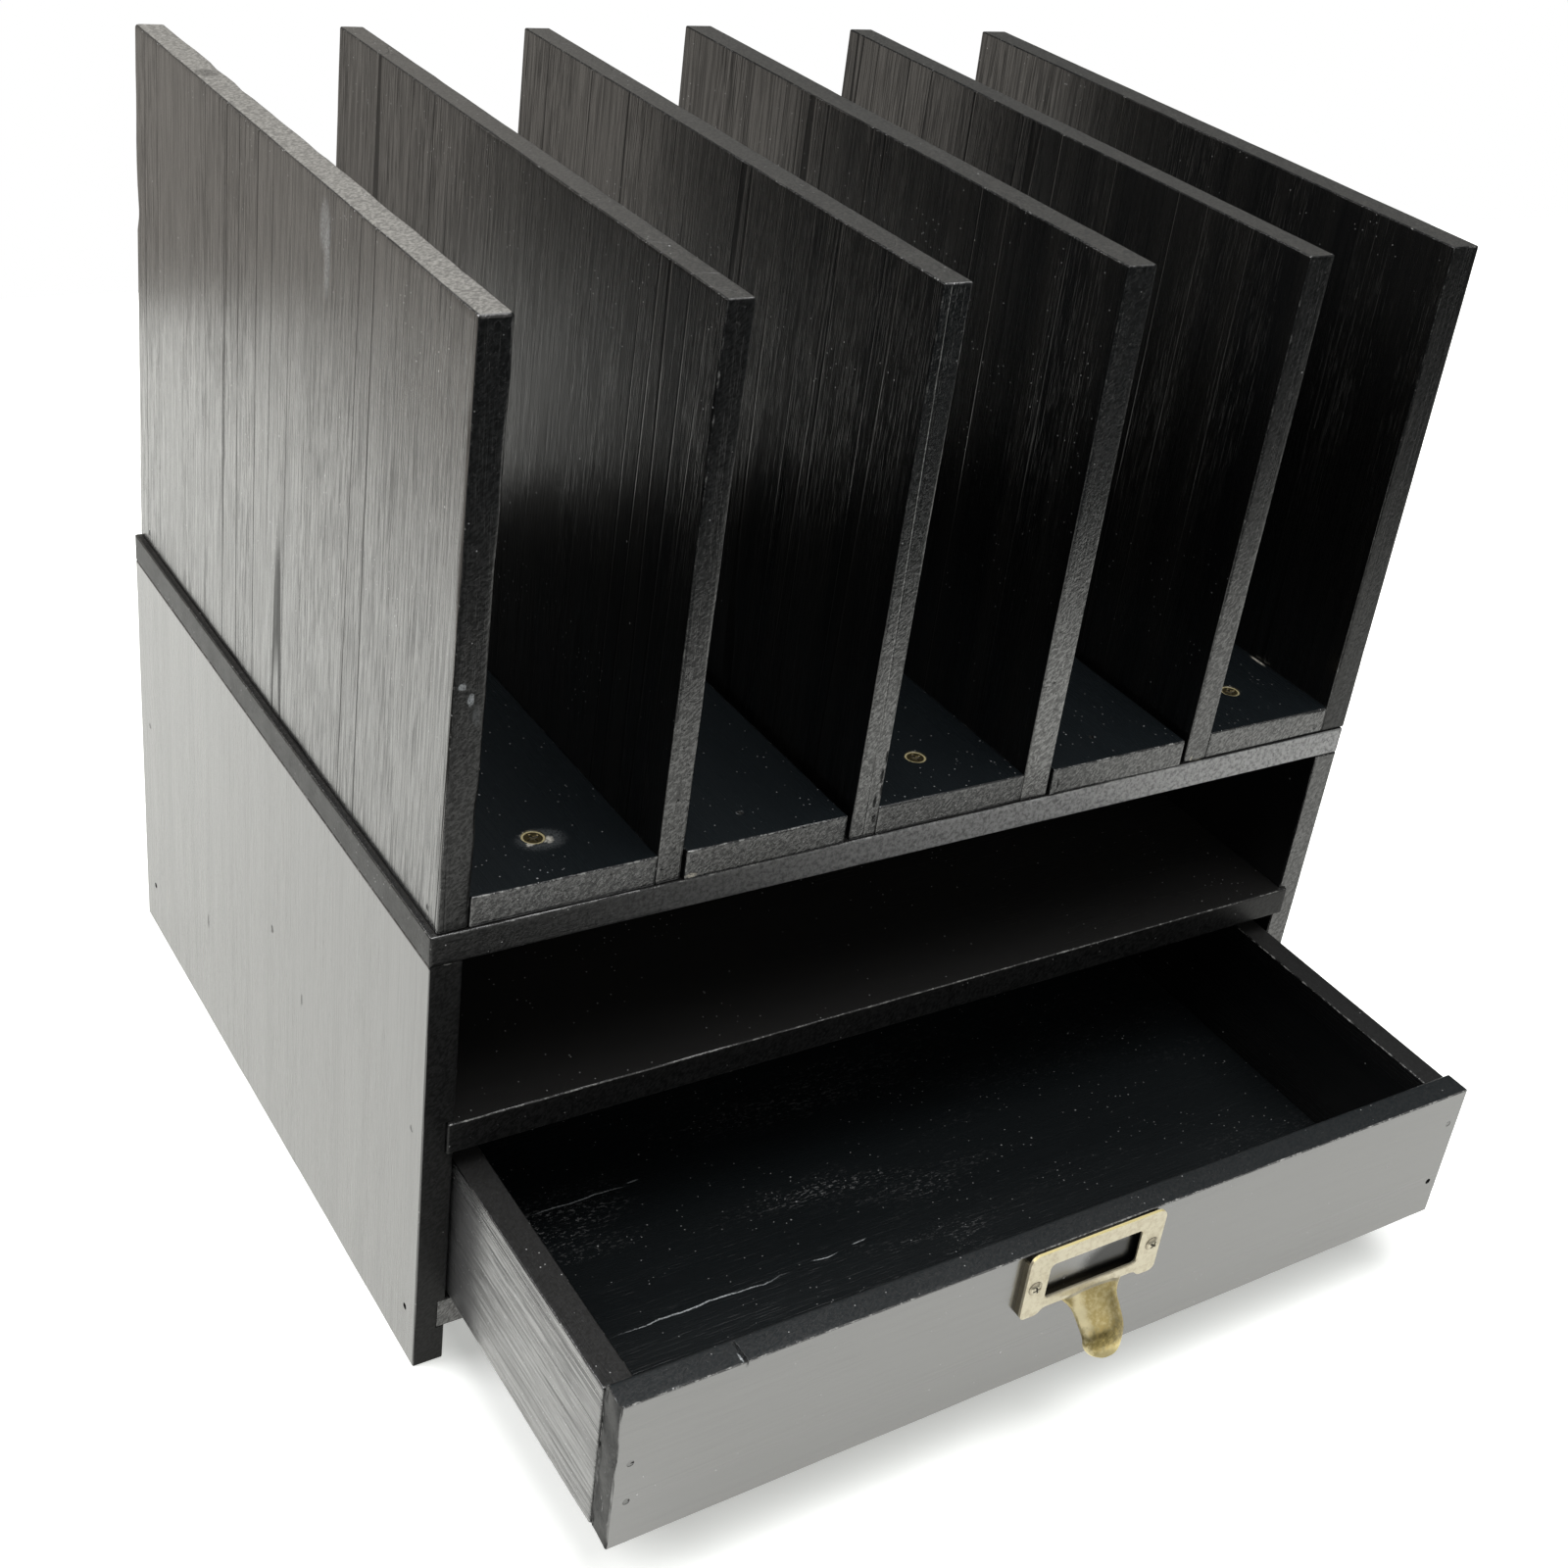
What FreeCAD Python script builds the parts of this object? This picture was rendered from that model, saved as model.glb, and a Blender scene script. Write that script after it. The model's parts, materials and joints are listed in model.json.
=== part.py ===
import FreeCAD, Part
import math
import os

# Envelope sorter with one drawer, in millimetres.
# x runs left to right, y front to back, z up from the table.
# Everything is drawn from the case's left front foot and shifted at the end
# so that the origin lies under the middle of the whole object.

Vector = FreeCAD.Vector

# ---------------------------------------------------------------- case
CASE_WIDTH = 420.0
CASE_DEPTH = 318.0
CASE_HEIGHT = 197.0
BOARD = 12.0              # sides, case top and rack floors
SHELF_THICKNESS = 13.3
BOTTOM_THICKNESS = 13.5
FOOT_HEIGHT = 16.6        # clear height under the bottom board
DRAWER_BAY = 72.3         # clear height between bottom board and shelf
SHELF_OVERHANG = 1.8      # shelf stands proud of the case front
DADO_DEPTH = 3.4          # grooves in the sides that carry the boards
REBATE_WIDTH = 6.0        # ledge in sides and top for the back panel
BACK_THICKNESS = 4.0
ARRIS = 0.5               # sanded-off corner of every visible edge

# ---------------------------------------------------------------- rack
RACK_RECESS = 1.0         # walls and bin floors behind the case front
FILLER_RECESS = 0.0       # filler floors are flush with it
FILLER_GAP_LEFT = 1.0     # filler floors lie loose between two bins
FILLER_GAP_RIGHT = 2.8
SCREW_INSET = 27.5        # rack screws from the front and back edges
BRAD_INSET = 16.0         # filler brads from the front and back edges
BRAD_OFFSET = 3.0         # brads left of the filler's middle line
RACK_INSET = 2.5          # first wall in from the case's left face
RACK_OVERHANG = 1.3       # last wall past the case's right face
# Built by hand, so no two walls are alike: thickness, height and how far
# the top leans to the right of the foot, from left to right.
WALLS = (
    (11.4, 213.0, 4.4),
    (10.1, 213.0, 4.0),
    (11.5, 213.5, 3.3),
    (12.9, 215.5, 0.6),
    (12.0, 215.0, 2.0),
    (13.7, 215.0, -1.1),
)
# How far each floor board is longer than an even share of the width.
FLOOR_EXTRAS = (1.6, -0.9, 0.0, 0.2, -0.9)

# -------------------------------------------------------------- drawer
DRAWER_OPEN = 128.0       # how far the drawer stands open at rest
DRAWER_GAP_LEFT = 1.3     # side play, pulled over to the left
DRAWER_GAP_RIGHT = 3.2
DRAWER_RUN_GAP = 0.4      # drawer above the bottom board
DRAWER_STOP_GAP = 0.3     # closed drawer in front of the back panel
FRONT_THICKNESS = 12.0
FRONT_HEIGHT = 66.5
SIDE_THICKNESS = 11.5     # drawer sides and back
SIDE_HEIGHT = 63.8
FLOOR_THICKNESS = 4.0
FLOOR_INSET = 1.3         # drawer floor above the drawer's lower edge
GROOVE_DEPTH = 5.0
FRONT_ROUNDING = 2.2      # worn top back edge of the drawer front

# ---------------------------------------------------------- label pull
PULL_OFFSET = -2.9        # pull's middle from the middle of the front
PULL_TOP_RISE = 1.2       # plate top above the front's top edge
PLATE_WIDTH = 63.6
PLATE_HEIGHT = 30.2
PLATE_THICKNESS = 1.2
PLATE_CORNER = 4.0        # top corners
EAR_CORNER = 2.6          # bottom corners
CARD_SLOT = 2.2           # room for a card behind the plate
FLANGE_WIDTH = 1.3
LOBE_WIDTH = 6.4          # low ears of the plate under the screws
OGEE_RUN = 5.4            # curve from an ear up to the middle
OGEE_RISE = 2.6
WINDOW_MARGIN = 10.3      # window's ends in from the plate's ends
WINDOW_HEIGHT = 16.1
WINDOW_DROP = 7.1         # window top below the plate top
WINDOW_CORNER = 2.0
WINDOW_BEVEL = 0.4
PULL_SCREW_INSET = 4.4    # screws in from the plate's ends
PULL_SCREW_DROP = 15.7    # screws below the plate top
TONGUE_ROOT_WIDTH = 21.0
TONGUE_TIP_WIDTH = 18.4
TONGUE_OFFSET = 1.9       # right of the plate's middle
TONGUE_THICKNESS = 1.6
TONGUE_FLARE = 5.4        # how far the root spreads into the plate, a side
TONGUE_CROWN = 2.4        # sideways arch of the tongue
TONGUE_ROOT_CROWN = 0.3   # nearly flat where it leaves the plate
TONGUE_START_DROP = 2.4   # root below the window
TONGUE_SLOPES = (36.0, 47.0, 82.0, 55.0)  # degrees down, root to tip
TONGUE_RADII = (85.0, 11.0, 12.0)   # bends between those slopes
TONGUE_SETTLE = 8.0       # length in which flare and crown settle
TONGUE_SPAN = 2.2         # length between its drawn cross-sections
TONGUE_TIP_CORNER = 8.5
TIP_FIT = 0.03            # the corners' cut starts this far outside

# ---------------------------------------------------------- fasteners
NAIL_SIDES = 8            # small repeated pieces are drawn with flats
SCREW_SIDES = 16
POINT_RADIUS = 0.2        # blunt tip of nails and screws
OVERCUT = 1.0             # cutting shapes start this far outside
HOLE_FIT = 0.1            # play round every nail and screw
BOARD_FIT = 0.2           # play of a board in its groove
DEPTH_FIT = 0.5           # hole runs on past a nail's or screw's point
NAIL_SHANK = 1.8
NAIL_HEAD = 2.6
NAIL_HEAD_THICKNESS = 0.7
NAIL_LENGTH = 30.0
BRAD_LENGTH = 18.0
NAIL_SUNK = 0.9           # punched in and left open
NAIL_FILLED = 0.1         # punched level and painted over
CASE_NAIL_INSET = 9.0     # nails from the front and back edges
# Drawer nails: height above the drawer's lower edge, how deep punched.
FRONT_NAILS_LEFT = ((20.9, NAIL_FILLED), (38.9, NAIL_FILLED))
FRONT_NAILS_RIGHT = ((18.5, NAIL_SUNK), (50.1, NAIL_FILLED))
BACK_NAILS = (18.0, 46.0)
SCREW_SHANK = 4.2
SCREW_HEAD = 8.8
SCREW_LENGTH = 21.0
SCREW_SUNK = 0.3
SCREW_CROSS = (4.4, 0.9, 1.3)       # recess: length, width, depth
PULL_SCREW_SHANK = 2.9
PULL_SCREW_HEAD = 6.0
PULL_SCREW_DOME = 1.5
PULL_SCREW_LENGTH = 11.0
PULL_SCREW_CROSS = (3.2, 0.7, 0.9)

# ------------------------------------------------------ derived levels
inner_left = BOARD
inner_right = CASE_WIDTH - BOARD
side_height = CASE_HEIGHT - BOARD
bottom_top = FOOT_HEIGHT + BOTTOM_THICKNESS
shelf_low = bottom_top + DRAWER_BAY
shelf_top = shelf_low + SHELF_THICKNESS
panel_face = CASE_DEPTH - BACK_THICKNESS
drawer_left = inner_left + DRAWER_GAP_LEFT
drawer_right = inner_right - DRAWER_GAP_RIGHT
drawer_low = bottom_top + DRAWER_RUN_GAP
front_face = -DRAWER_OPEN
front_back = front_face + FRONT_THICKNESS
drawer_end = panel_face - DRAWER_STOP_GAP - DRAWER_OPEN
floor_low = drawer_low + FLOOR_INSET
floor_top = floor_low + FLOOR_THICKNESS
rack_floor_top = CASE_HEIGHT + BOARD
plate_stand = CARD_SLOT + PLATE_THICKNESS
pull_x = (drawer_left + drawer_right) / 2 + PULL_OFFSET
plate_top = drawer_low + FRONT_HEIGHT + PULL_TOP_RISE
plate_low = plate_top - PLATE_HEIGHT
window_top = plate_top - WINDOW_DROP
window_low = window_top - WINDOW_HEIGHT
window_half = PLATE_WIDTH / 2 - WINDOW_MARGIN

RIGHT = Vector(1, 0, 0)
LEFT = Vector(-1, 0, 0)
BACK = Vector(0, 1, 0)
FRONT = Vector(0, -1, 0)
UP = Vector(0, 0, 1)
DOWN = Vector(0, 0, -1)


# --------------------------------------------------------------- tools
def box(x0, x1, y0, y1, z0, z1):
    """A square-edged block between two corners."""
    return Part.makeBox(x1 - x0, y1 - y0, z1 - z0, Vector(x0, y0, z0))


def eased(solid, chosen):
    """Take the arris off the edges whose middle point is chosen."""
    edges = [e for e in solid.Edges if chosen(e.CenterOfMass)]
    return solid.makeChamfer(ARRIS, edges)


def extruded(points, start, along):
    """A closed outline of points, moved to start and drawn along."""
    loop = [p + start for p in points]
    face = Part.Face(Part.makePolygon(loop + loop[:1]))
    return face.extrude(along)


def turned(profile, at, direction, sides):
    """Stack flat-sided rings along a line: (radius, distance) pairs."""
    def ring(radius, distance):
        turns = [2 * math.pi * i / sides for i in range(sides)]
        return [Vector(radius * math.cos(t), radius * math.sin(t), distance)
                for t in turns]

    rings = [ring(*pair) for pair in profile]
    loops = [rings[0][::-1], rings[-1]]
    for low, high in zip(rings, rings[1:]):
        for i in range(sides):
            j = (i + 1) % sides
            loops.append([low[i], low[j], high[j], high[i]])
    faces = [Part.Face(Part.makePolygon(p + p[:1])) for p in loops]
    shell = Part.makeShell(faces)
    shell.sewShape()
    solid = Part.makeSolid(shell).removeSplitter()
    turn = FreeCAD.Rotation(UP, direction)
    solid.Placement = FreeCAD.Placement(at, turn)
    return solid


def cross_recess(size, at, direction, below):
    """The cross-shaped driver recess, its mouth below the given point."""
    length, width, depth = size
    bars = []
    for along, across in ((length, width), (width, length)):
        corner = Vector(-along / 2, -across / 2, below - depth)
        bars.append(Part.makeBox(along, across, 2 * depth, corner))
    cross = bars[0].fuse(bars[1])
    turn = FreeCAD.Rotation(UP, direction)
    cross.Placement = FreeCAD.Placement(at, turn)
    return cross


class Fasteners:
    """Nails or screws of one kind with the holes they need."""

    def __init__(self):
        self.solids = []
        self.holes = []

    def nail(self, at, direction, length, sunk):
        """A headed nail driven from a surface point."""
        head = NAIL_HEAD / 2
        shank = NAIL_SHANK / 2
        neck = sunk + NAIL_HEAD_THICKNESS
        point = sunk + length
        body = ((head, sunk), (head, neck), (shank, neck),
                (shank, point - NAIL_SHANK), (POINT_RADIUS, point))
        wide = head + HOLE_FIT
        tight = shank + HOLE_FIT
        hole = ((wide, -OVERCUT), (wide, neck), (tight, neck),
                (tight, point + DEPTH_FIT))
        self.solids.append(turned(body, at, direction, NAIL_SIDES))
        self.holes.append(turned(hole, at, direction, NAIL_SIDES))

    def countersunk(self, at, direction):
        """A flat-headed wood screw, its head just under the surface."""
        head = SCREW_HEAD / 2
        shank = SCREW_SHANK / 2
        neck = SCREW_SUNK + head - shank
        point = SCREW_SUNK + SCREW_LENGTH
        body = ((head, SCREW_SUNK), (shank, neck),
                (shank, point - SCREW_SHANK), (POINT_RADIUS, point))
        wide = head + HOLE_FIT
        tight = shank + HOLE_FIT
        hole = ((wide, -OVERCUT), (wide, SCREW_SUNK), (tight, neck),
                (tight, point + DEPTH_FIT))
        screw = turned(body, at, direction, SCREW_SIDES)
        cross = cross_recess(SCREW_CROSS, at, direction, SCREW_SUNK)
        self.solids.append(screw.cut(cross))
        self.holes.append(turned(hole, at, direction, SCREW_SIDES))

    def domed(self, at, direction):
        """A small round-headed screw, seated on the surface point."""
        head = PULL_SCREW_HEAD / 2
        shank = PULL_SCREW_SHANK / 2
        rim = 0.4 * PULL_SCREW_DOME
        brow = 0.8 * PULL_SCREW_DOME
        body = ((0.45 * head, -PULL_SCREW_DOME), (0.8 * head, -brow),
                (head, -rim), (head, 0), (shank, 0),
                (shank, PULL_SCREW_LENGTH - PULL_SCREW_SHANK),
                (POINT_RADIUS, PULL_SCREW_LENGTH))
        tight = shank + HOLE_FIT
        hole = ((tight, -OVERCUT),
                (tight, PULL_SCREW_LENGTH + DEPTH_FIT))
        screw = turned(body, at, direction, SCREW_SIDES)
        cross = cross_recess(PULL_SCREW_CROSS, at, direction,
                             -PULL_SCREW_DOME)
        self.solids.append(screw.cut(cross))
        self.holes.append(turned(hole, at, direction, SCREW_SIDES))

    def group(self):
        """All fasteners of this kind as one group of solids."""
        return Part.makeCompound(self.solids)


def drilled(solid, *kinds):
    """Cut every hole of the given fastener kinds that meets the solid."""
    reach = solid.BoundBox
    holes = []
    for kind in kinds:
        for hole in kind.holes:
            if reach.intersect(hole.BoundBox):
                holes.append(hole)
    return solid.cut(holes)


# -------------------------------------------------- nails of the case
end_rows = (CASE_NAIL_INSET, CASE_DEPTH - BACK_THICKNESS - CASE_NAIL_INSET)

shelf_nails = Fasteners()
bottom_board_nails = Fasteners()
case_top_nails = Fasteners()
for y in end_rows:
    for x, inward in ((0, RIGHT), (CASE_WIDTH, LEFT)):
        mid_shelf = shelf_low + SHELF_THICKNESS / 2
        mid_bottom = FOOT_HEIGHT + BOTTOM_THICKNESS / 2
        shelf_nails.nail(Vector(x, y, mid_shelf), inward,
                         NAIL_LENGTH, NAIL_FILLED)
        bottom_board_nails.nail(Vector(x, y, mid_bottom), inward,
                                NAIL_LENGTH, NAIL_SUNK)
    for x in (BOARD / 2, CASE_WIDTH - BOARD / 2):
        inset = 2 * BOARD if y < CASE_DEPTH / 2 else -2 * BOARD
        case_top_nails.nail(Vector(x, y + inset, CASE_HEIGHT), DOWN,
                            NAIL_LENGTH, NAIL_FILLED)

back_panel_brads = Fasteners()
ledge_middle = BOARD - (BOARD - REBATE_WIDTH) / 2
for x in (ledge_middle, CASE_WIDTH - ledge_middle):
    for z in (bottom_top + BOARD, shelf_low - BOARD, side_height - BOARD):
        back_panel_brads.nail(Vector(x, CASE_DEPTH, z), FRONT,
                              BRAD_LENGTH, NAIL_FILLED)

# --------------------------------------------------- rack of three bins
rack_back = CASE_DEPTH


class Wall:
    """An upright board of a bin: square foot, slightly leaning."""

    def __init__(self, left, thickness, height, lean):
        self.left = left
        self.right = left + thickness
        self.height = height
        self.lean = lean

    def shift(self, level):
        """Sideways drift of the faces at a height above the case."""
        return self.lean * level / self.height

    def solid(self):
        points = [Vector(self.left, 0, 0),
                  Vector(self.right, 0, 0),
                  Vector(self.right + self.lean, 0, self.height),
                  Vector(self.left + self.lean, 0, self.height)]
        start = Vector(0, RACK_RECESS, CASE_HEIGHT)
        board = extruded(points, start, BACK * (rack_back - RACK_RECESS))
        return eased(board, lambda c: c.z > CASE_HEIGHT + ARRIS)


def rack_floor(low_left, low_right, high_left, high_right, recess):
    """A floor board whose ends may follow leaning walls."""
    points = [Vector(low_left, 0, 0), Vector(low_right, 0, 0),
              Vector(high_right, 0, BOARD), Vector(high_left, 0, BOARD)]
    start = Vector(0, recess, CASE_HEIGHT)
    board = extruded(points, start, BACK * (rack_back - recess))
    return eased(board, lambda c: c.y < recess + ARRIS
                 and c.z > rack_floor_top - ARRIS)


floor_gaps = (0, FILLER_GAP_LEFT, 0, FILLER_GAP_LEFT, 0)
wall_gaps = (0, FILLER_GAP_RIGHT, 0, FILLER_GAP_RIGHT, 0)
taken = sum(sizes[0] for sizes in WALLS) + sum(floor_gaps + wall_gaps)
rack_width = CASE_WIDTH - RACK_INSET + RACK_OVERHANG
even_share = (rack_width - taken) / len(FLOOR_EXTRAS)

walls = [Wall(RACK_INSET, *WALLS[0])]
floor_ends = []
for sizes, extra, before, after in zip(WALLS[1:], FLOOR_EXTRAS,
                                       floor_gaps, wall_gaps):
    left = walls[-1].right + before
    right = left + even_share + extra
    floor_ends.append((left, right))
    walls.append(Wall(right + after, *sizes))

rack_floors = {}
bin_nails = Fasteners()
rack_screws = Fasteners()
filler_brads = Fasteners()
mid = BOARD / 2
for number, (left, right) in enumerate(floor_ends, 1):
    is_filler = number % 2 == 0
    if is_filler:
        name = "filler_floor_%d" % number
        rack_floors[name] = rack_floor(left, right, left, right,
                                       FILLER_RECESS)
        for y in (BRAD_INSET, rack_back - BRAD_INSET):
            x = (left + right) / 2 - BRAD_OFFSET
            filler_brads.nail(Vector(x, y, rack_floor_top), DOWN,
                              BRAD_LENGTH, NAIL_SUNK)
        continue
    one, two = walls[number - 1], walls[number]
    name = "bin_floor_%d" % number
    rack_floors[name] = rack_floor(left, right,
                                   left + one.shift(BOARD),
                                   right + two.shift(BOARD), RACK_RECESS)
    for y in end_rows:
        level = CASE_HEIGHT + mid
        bin_nails.nail(Vector(one.left + one.shift(mid), y, level),
                       RIGHT, NAIL_LENGTH, NAIL_FILLED)
        bin_nails.nail(Vector(two.right + two.shift(mid), y, level),
                       LEFT, NAIL_LENGTH, NAIL_FILLED)
    for y in (SCREW_INSET, rack_back - SCREW_INSET):
        at = Vector((left + right) / 2, y, rack_floor_top)
        rack_screws.countersunk(at, DOWN)

# --------------------------------------------------------- case boards
def case_side(x0, x1, dado_x0, dado_x1, rebate_x0, rebate_x1):
    """A side running down to the table as a foot."""
    side = box(x0, x1, 0, CASE_DEPTH, 0, side_height)
    side = eased(side, lambda c: ARRIS < c.z < side_height - ARRIS)
    over = CASE_DEPTH + OVERCUT
    shelf_dado = box(dado_x0, dado_x1, -OVERCUT, over,
                     shelf_low, shelf_top + BOARD_FIT)
    bottom_dado = box(dado_x0, dado_x1, -OVERCUT, over,
                      FOOT_HEIGHT, bottom_top + BOARD_FIT)
    rebate = box(rebate_x0, rebate_x1, panel_face, over,
                 FOOT_HEIGHT, side_height + OVERCUT)
    side = side.cut([shelf_dado, bottom_dado, rebate])
    return drilled(side, shelf_nails, bottom_board_nails,
                   case_top_nails, back_panel_brads)


left_side = case_side(0, BOARD,
                      inner_left - DADO_DEPTH, inner_left + OVERCUT,
                      inner_left - REBATE_WIDTH, inner_left + OVERCUT)
right_side = case_side(inner_right, CASE_WIDTH,
                       inner_right - OVERCUT, inner_right + DADO_DEPTH,
                       inner_right - OVERCUT, inner_right + REBATE_WIDTH)

case_top = box(0, CASE_WIDTH, 0, CASE_DEPTH, side_height, CASE_HEIGHT)
case_top = eased(case_top, lambda c: c.y < ARRIS or c.x < ARRIS
                 or c.x > CASE_WIDTH - ARRIS)
top_rebate = box(BOARD - REBATE_WIDTH, inner_right + REBATE_WIDTH,
                 panel_face, CASE_DEPTH + OVERCUT,
                 side_height - OVERCUT, side_height + REBATE_WIDTH)
case_top = case_top.cut(top_rebate)
case_top = drilled(case_top, case_top_nails, rack_screws, filler_brads)

board_left = BOARD - DADO_DEPTH + BOARD_FIT
board_right = inner_right + DADO_DEPTH - BOARD_FIT
shelf = box(board_left, board_right, -SHELF_OVERHANG, panel_face,
            shelf_low, shelf_top)
shelf = eased(shelf, lambda c: c.y < ARRIS - SHELF_OVERHANG)
shelf = drilled(shelf, shelf_nails)

bottom_board = box(board_left, board_right, 0, panel_face,
                   FOOT_HEIGHT, bottom_top)
bottom_board = eased(bottom_board, lambda c: c.y < ARRIS
                     and board_left < c.x < board_right)
bottom_board = drilled(bottom_board, bottom_board_nails)

back_panel = box(BOARD - REBATE_WIDTH + BOARD_FIT,
                 inner_right + REBATE_WIDTH - BOARD_FIT,
                 panel_face, CASE_DEPTH,
                 FOOT_HEIGHT, side_height + REBATE_WIDTH - BOARD_FIT)
back_panel = drilled(back_panel, back_panel_brads)

# -------------------------------------------------------------- drawer
drawer_front_nails = Fasteners()
drawer_back_nails = Fasteners()
side_rows = ((drawer_left, RIGHT, FRONT_NAILS_LEFT),
             (drawer_right, LEFT, FRONT_NAILS_RIGHT))
for x, inward, front_nails in side_rows:
    for height, sunk in front_nails:
        at = Vector(x, front_face, drawer_low + height)
        at += inward * (SIDE_THICKNESS / 2)
        drawer_front_nails.nail(at, BACK, NAIL_LENGTH, sunk)
    for height in BACK_NAILS:
        at = Vector(x, drawer_end - SIDE_THICKNESS / 2,
                    drawer_low + height)
        drawer_back_nails.nail(at, inward, NAIL_LENGTH, NAIL_FILLED)

pull_screws = Fasteners()
for side in (-1, 1):
    at = Vector(pull_x + side * (PLATE_WIDTH / 2 - PULL_SCREW_INSET),
                front_face - plate_stand, plate_top - PULL_SCREW_DROP)
    pull_screws.domed(at, BACK)

box_left = drawer_left + SIDE_THICKNESS
box_right = drawer_right - SIDE_THICKNESS
side_top = drawer_low + SIDE_HEIGHT
back_face = drawer_end - SIDE_THICKNESS
floor_groove = box(box_left - GROOVE_DEPTH, box_right + GROOVE_DEPTH,
                   front_back - GROOVE_DEPTH, drawer_end + OVERCUT,
                   floor_low, floor_top + BOARD_FIT)

drawer_front = box(drawer_left, drawer_right, front_face, front_back,
                   drawer_low, drawer_low + FRONT_HEIGHT)
drawer_front = eased(drawer_front, lambda c: c.y < front_face + ARRIS)
worn = [e for e in drawer_front.Edges
        if e.CenterOfMass.y > front_back - ARRIS
        and e.CenterOfMass.z > drawer_low + FRONT_HEIGHT - ARRIS]
drawer_front = drawer_front.makeFillet(FRONT_ROUNDING, worn)
drawer_front = drawer_front.cut(floor_groove)
drawer_front = drilled(drawer_front, drawer_front_nails, pull_screws)


def drawer_side(x0, x1):
    """A drawer side, butted against the back of the front."""
    board = box(x0, x1, front_back, drawer_end, drawer_low, side_top)
    board = eased(board, lambda c: c.z > side_top - ARRIS
                  and front_back < c.y < drawer_end)
    board = board.cut(floor_groove)
    return drilled(board, drawer_front_nails, drawer_back_nails)


drawer_left_side = drawer_side(drawer_left, box_left)
drawer_right_side = drawer_side(box_right, drawer_right)

drawer_back = box(box_left, box_right, back_face, drawer_end,
                  floor_top, side_top)
drawer_back = eased(drawer_back, lambda c: c.z > side_top - ARRIS
                    and box_left < c.x < box_right)
drawer_back = drilled(drawer_back, drawer_back_nails)

drawer_floor = box(box_left - GROOVE_DEPTH + BOARD_FIT,
                   box_right + GROOVE_DEPTH - BOARD_FIT,
                   front_back - GROOVE_DEPTH + BOARD_FIT, drawer_end,
                   floor_low, floor_top)

# ---------------------------------------------------------- label pull
def pull_point(x, reach, z):
    """A point of the pull: from its middle, out from the wood, height."""
    return Vector(pull_x + x, front_face - reach, z)


def rounded(half_width, low, high, corner, reach):
    """A rectangle with rounded corners, parallel to the drawer front."""
    a = half_width
    b = a - corner
    c = corner * (1 - math.sqrt(0.5))
    spots = ((-a, low + corner), (-a + c, low + c), (-b, low),
             (b, low), (a - c, low + c), (a, low + corner),
             (a, high - corner), (a - c, high - c), (b, high),
             (-b, high), (-a + c, high - c), (-a, high - corner))
    p = [pull_point(x, reach, z) for x, z in spots]
    edges = []
    for i in (0, 3, 6, 9):
        edges.append(Part.Arc(p[i], p[i + 1], p[i + 2]).toShape())
        edges.append(Part.makeLine(p[i + 2], p[(i + 3) % 12]))
    return Part.Face(Part.Wire(edges))


def ogee_arcs(x0, z0, run, rise, reach):
    """Two tangent arcs that climb from one level to another."""
    half = math.atan2(rise, abs(run))
    radius = (run * run + rise * rise) / (4 * rise)
    side = math.copysign(1, run)
    bow_x = side * radius * math.sin(half)
    bow_z = radius * (1 - math.cos(half))
    spots = ((x0, z0), (x0 + bow_x, z0 + bow_z),
             (x0 + run / 2, z0 + rise / 2),
             (x0 + run - bow_x, z0 + rise - bow_z),
             (x0 + run, z0 + rise))
    p = [pull_point(x, reach, z) for x, z in spots]
    return [Part.Arc(p[0], p[1], p[2]).toShape(),
            Part.Arc(p[2], p[3], p[4]).toShape()]


def plate_outline(margin, top, reach):
    """The plate's shape: two ears at the bottom, middle drawn up."""
    a = PLATE_WIDTH / 2 - margin
    low = plate_low + margin
    r = PLATE_CORNER - margin
    c = r * (1 - math.sqrt(0.5))
    e = EAR_CORNER - margin
    f = e * (1 - math.sqrt(0.5))
    ear = PLATE_WIDTH / 2 - LOBE_WIDTH
    rise = low + OGEE_RISE

    def arc(*spots):
        p = [pull_point(x, reach, z) for x, z in spots]
        return Part.Arc(*p).toShape()

    def line(start, end):
        return Part.makeLine(pull_point(start[0], reach, start[1]),
                             pull_point(end[0], reach, end[1]))

    edges = [arc((-a, low + e), (-a + f, low + f), (-a + e, low)),
             line((-a + e, low), (-ear, low))]
    edges += ogee_arcs(-ear, low, OGEE_RUN, OGEE_RISE, reach)
    edges.append(line((-ear + OGEE_RUN, rise), (ear - OGEE_RUN, rise)))
    edges += ogee_arcs(ear, low, -OGEE_RUN, OGEE_RISE, reach)
    edges += [line((ear, low), (a - e, low)),
              arc((a - e, low), (a - f, low + f), (a, low + e)),
              line((a, low + e), (a, top - r)),
              arc((a, top - r), (a - c, top - c), (a - r, top)),
              line((a - r, top), (-a + r, top)),
              arc((-a + r, top), (-a + c, top - c), (-a, top - r)),
              line((-a, top - r), (-a, low + e))]
    return Part.Face(Part.Wire(Part.__sortEdges__(edges)))


def tongue_stations():
    """The tongue's middle line: reach, height and slope, root to tip."""
    slopes = [math.radians(s) for s in TONGUE_SLOPES]
    reach = plate_stand - TONGUE_THICKNESS / 2
    z = window_low - TONGUE_START_DROP
    stations = [(reach, z, slopes[0])]
    for radius, start, end in zip(TONGUE_RADII, slopes, slopes[1:]):
        spans = math.ceil(radius * abs(end - start) / TONGUE_SPAN)
        step = (end - start) / spans
        chord = 2 * radius * math.sin(abs(step) / 2)
        for i in range(spans):
            middle = start + (i + 0.5) * step
            reach += chord * math.cos(middle)
            z -= chord * math.sin(middle)
            stations.append((reach, z, start + (i + 1) * step))
    return stations


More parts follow.
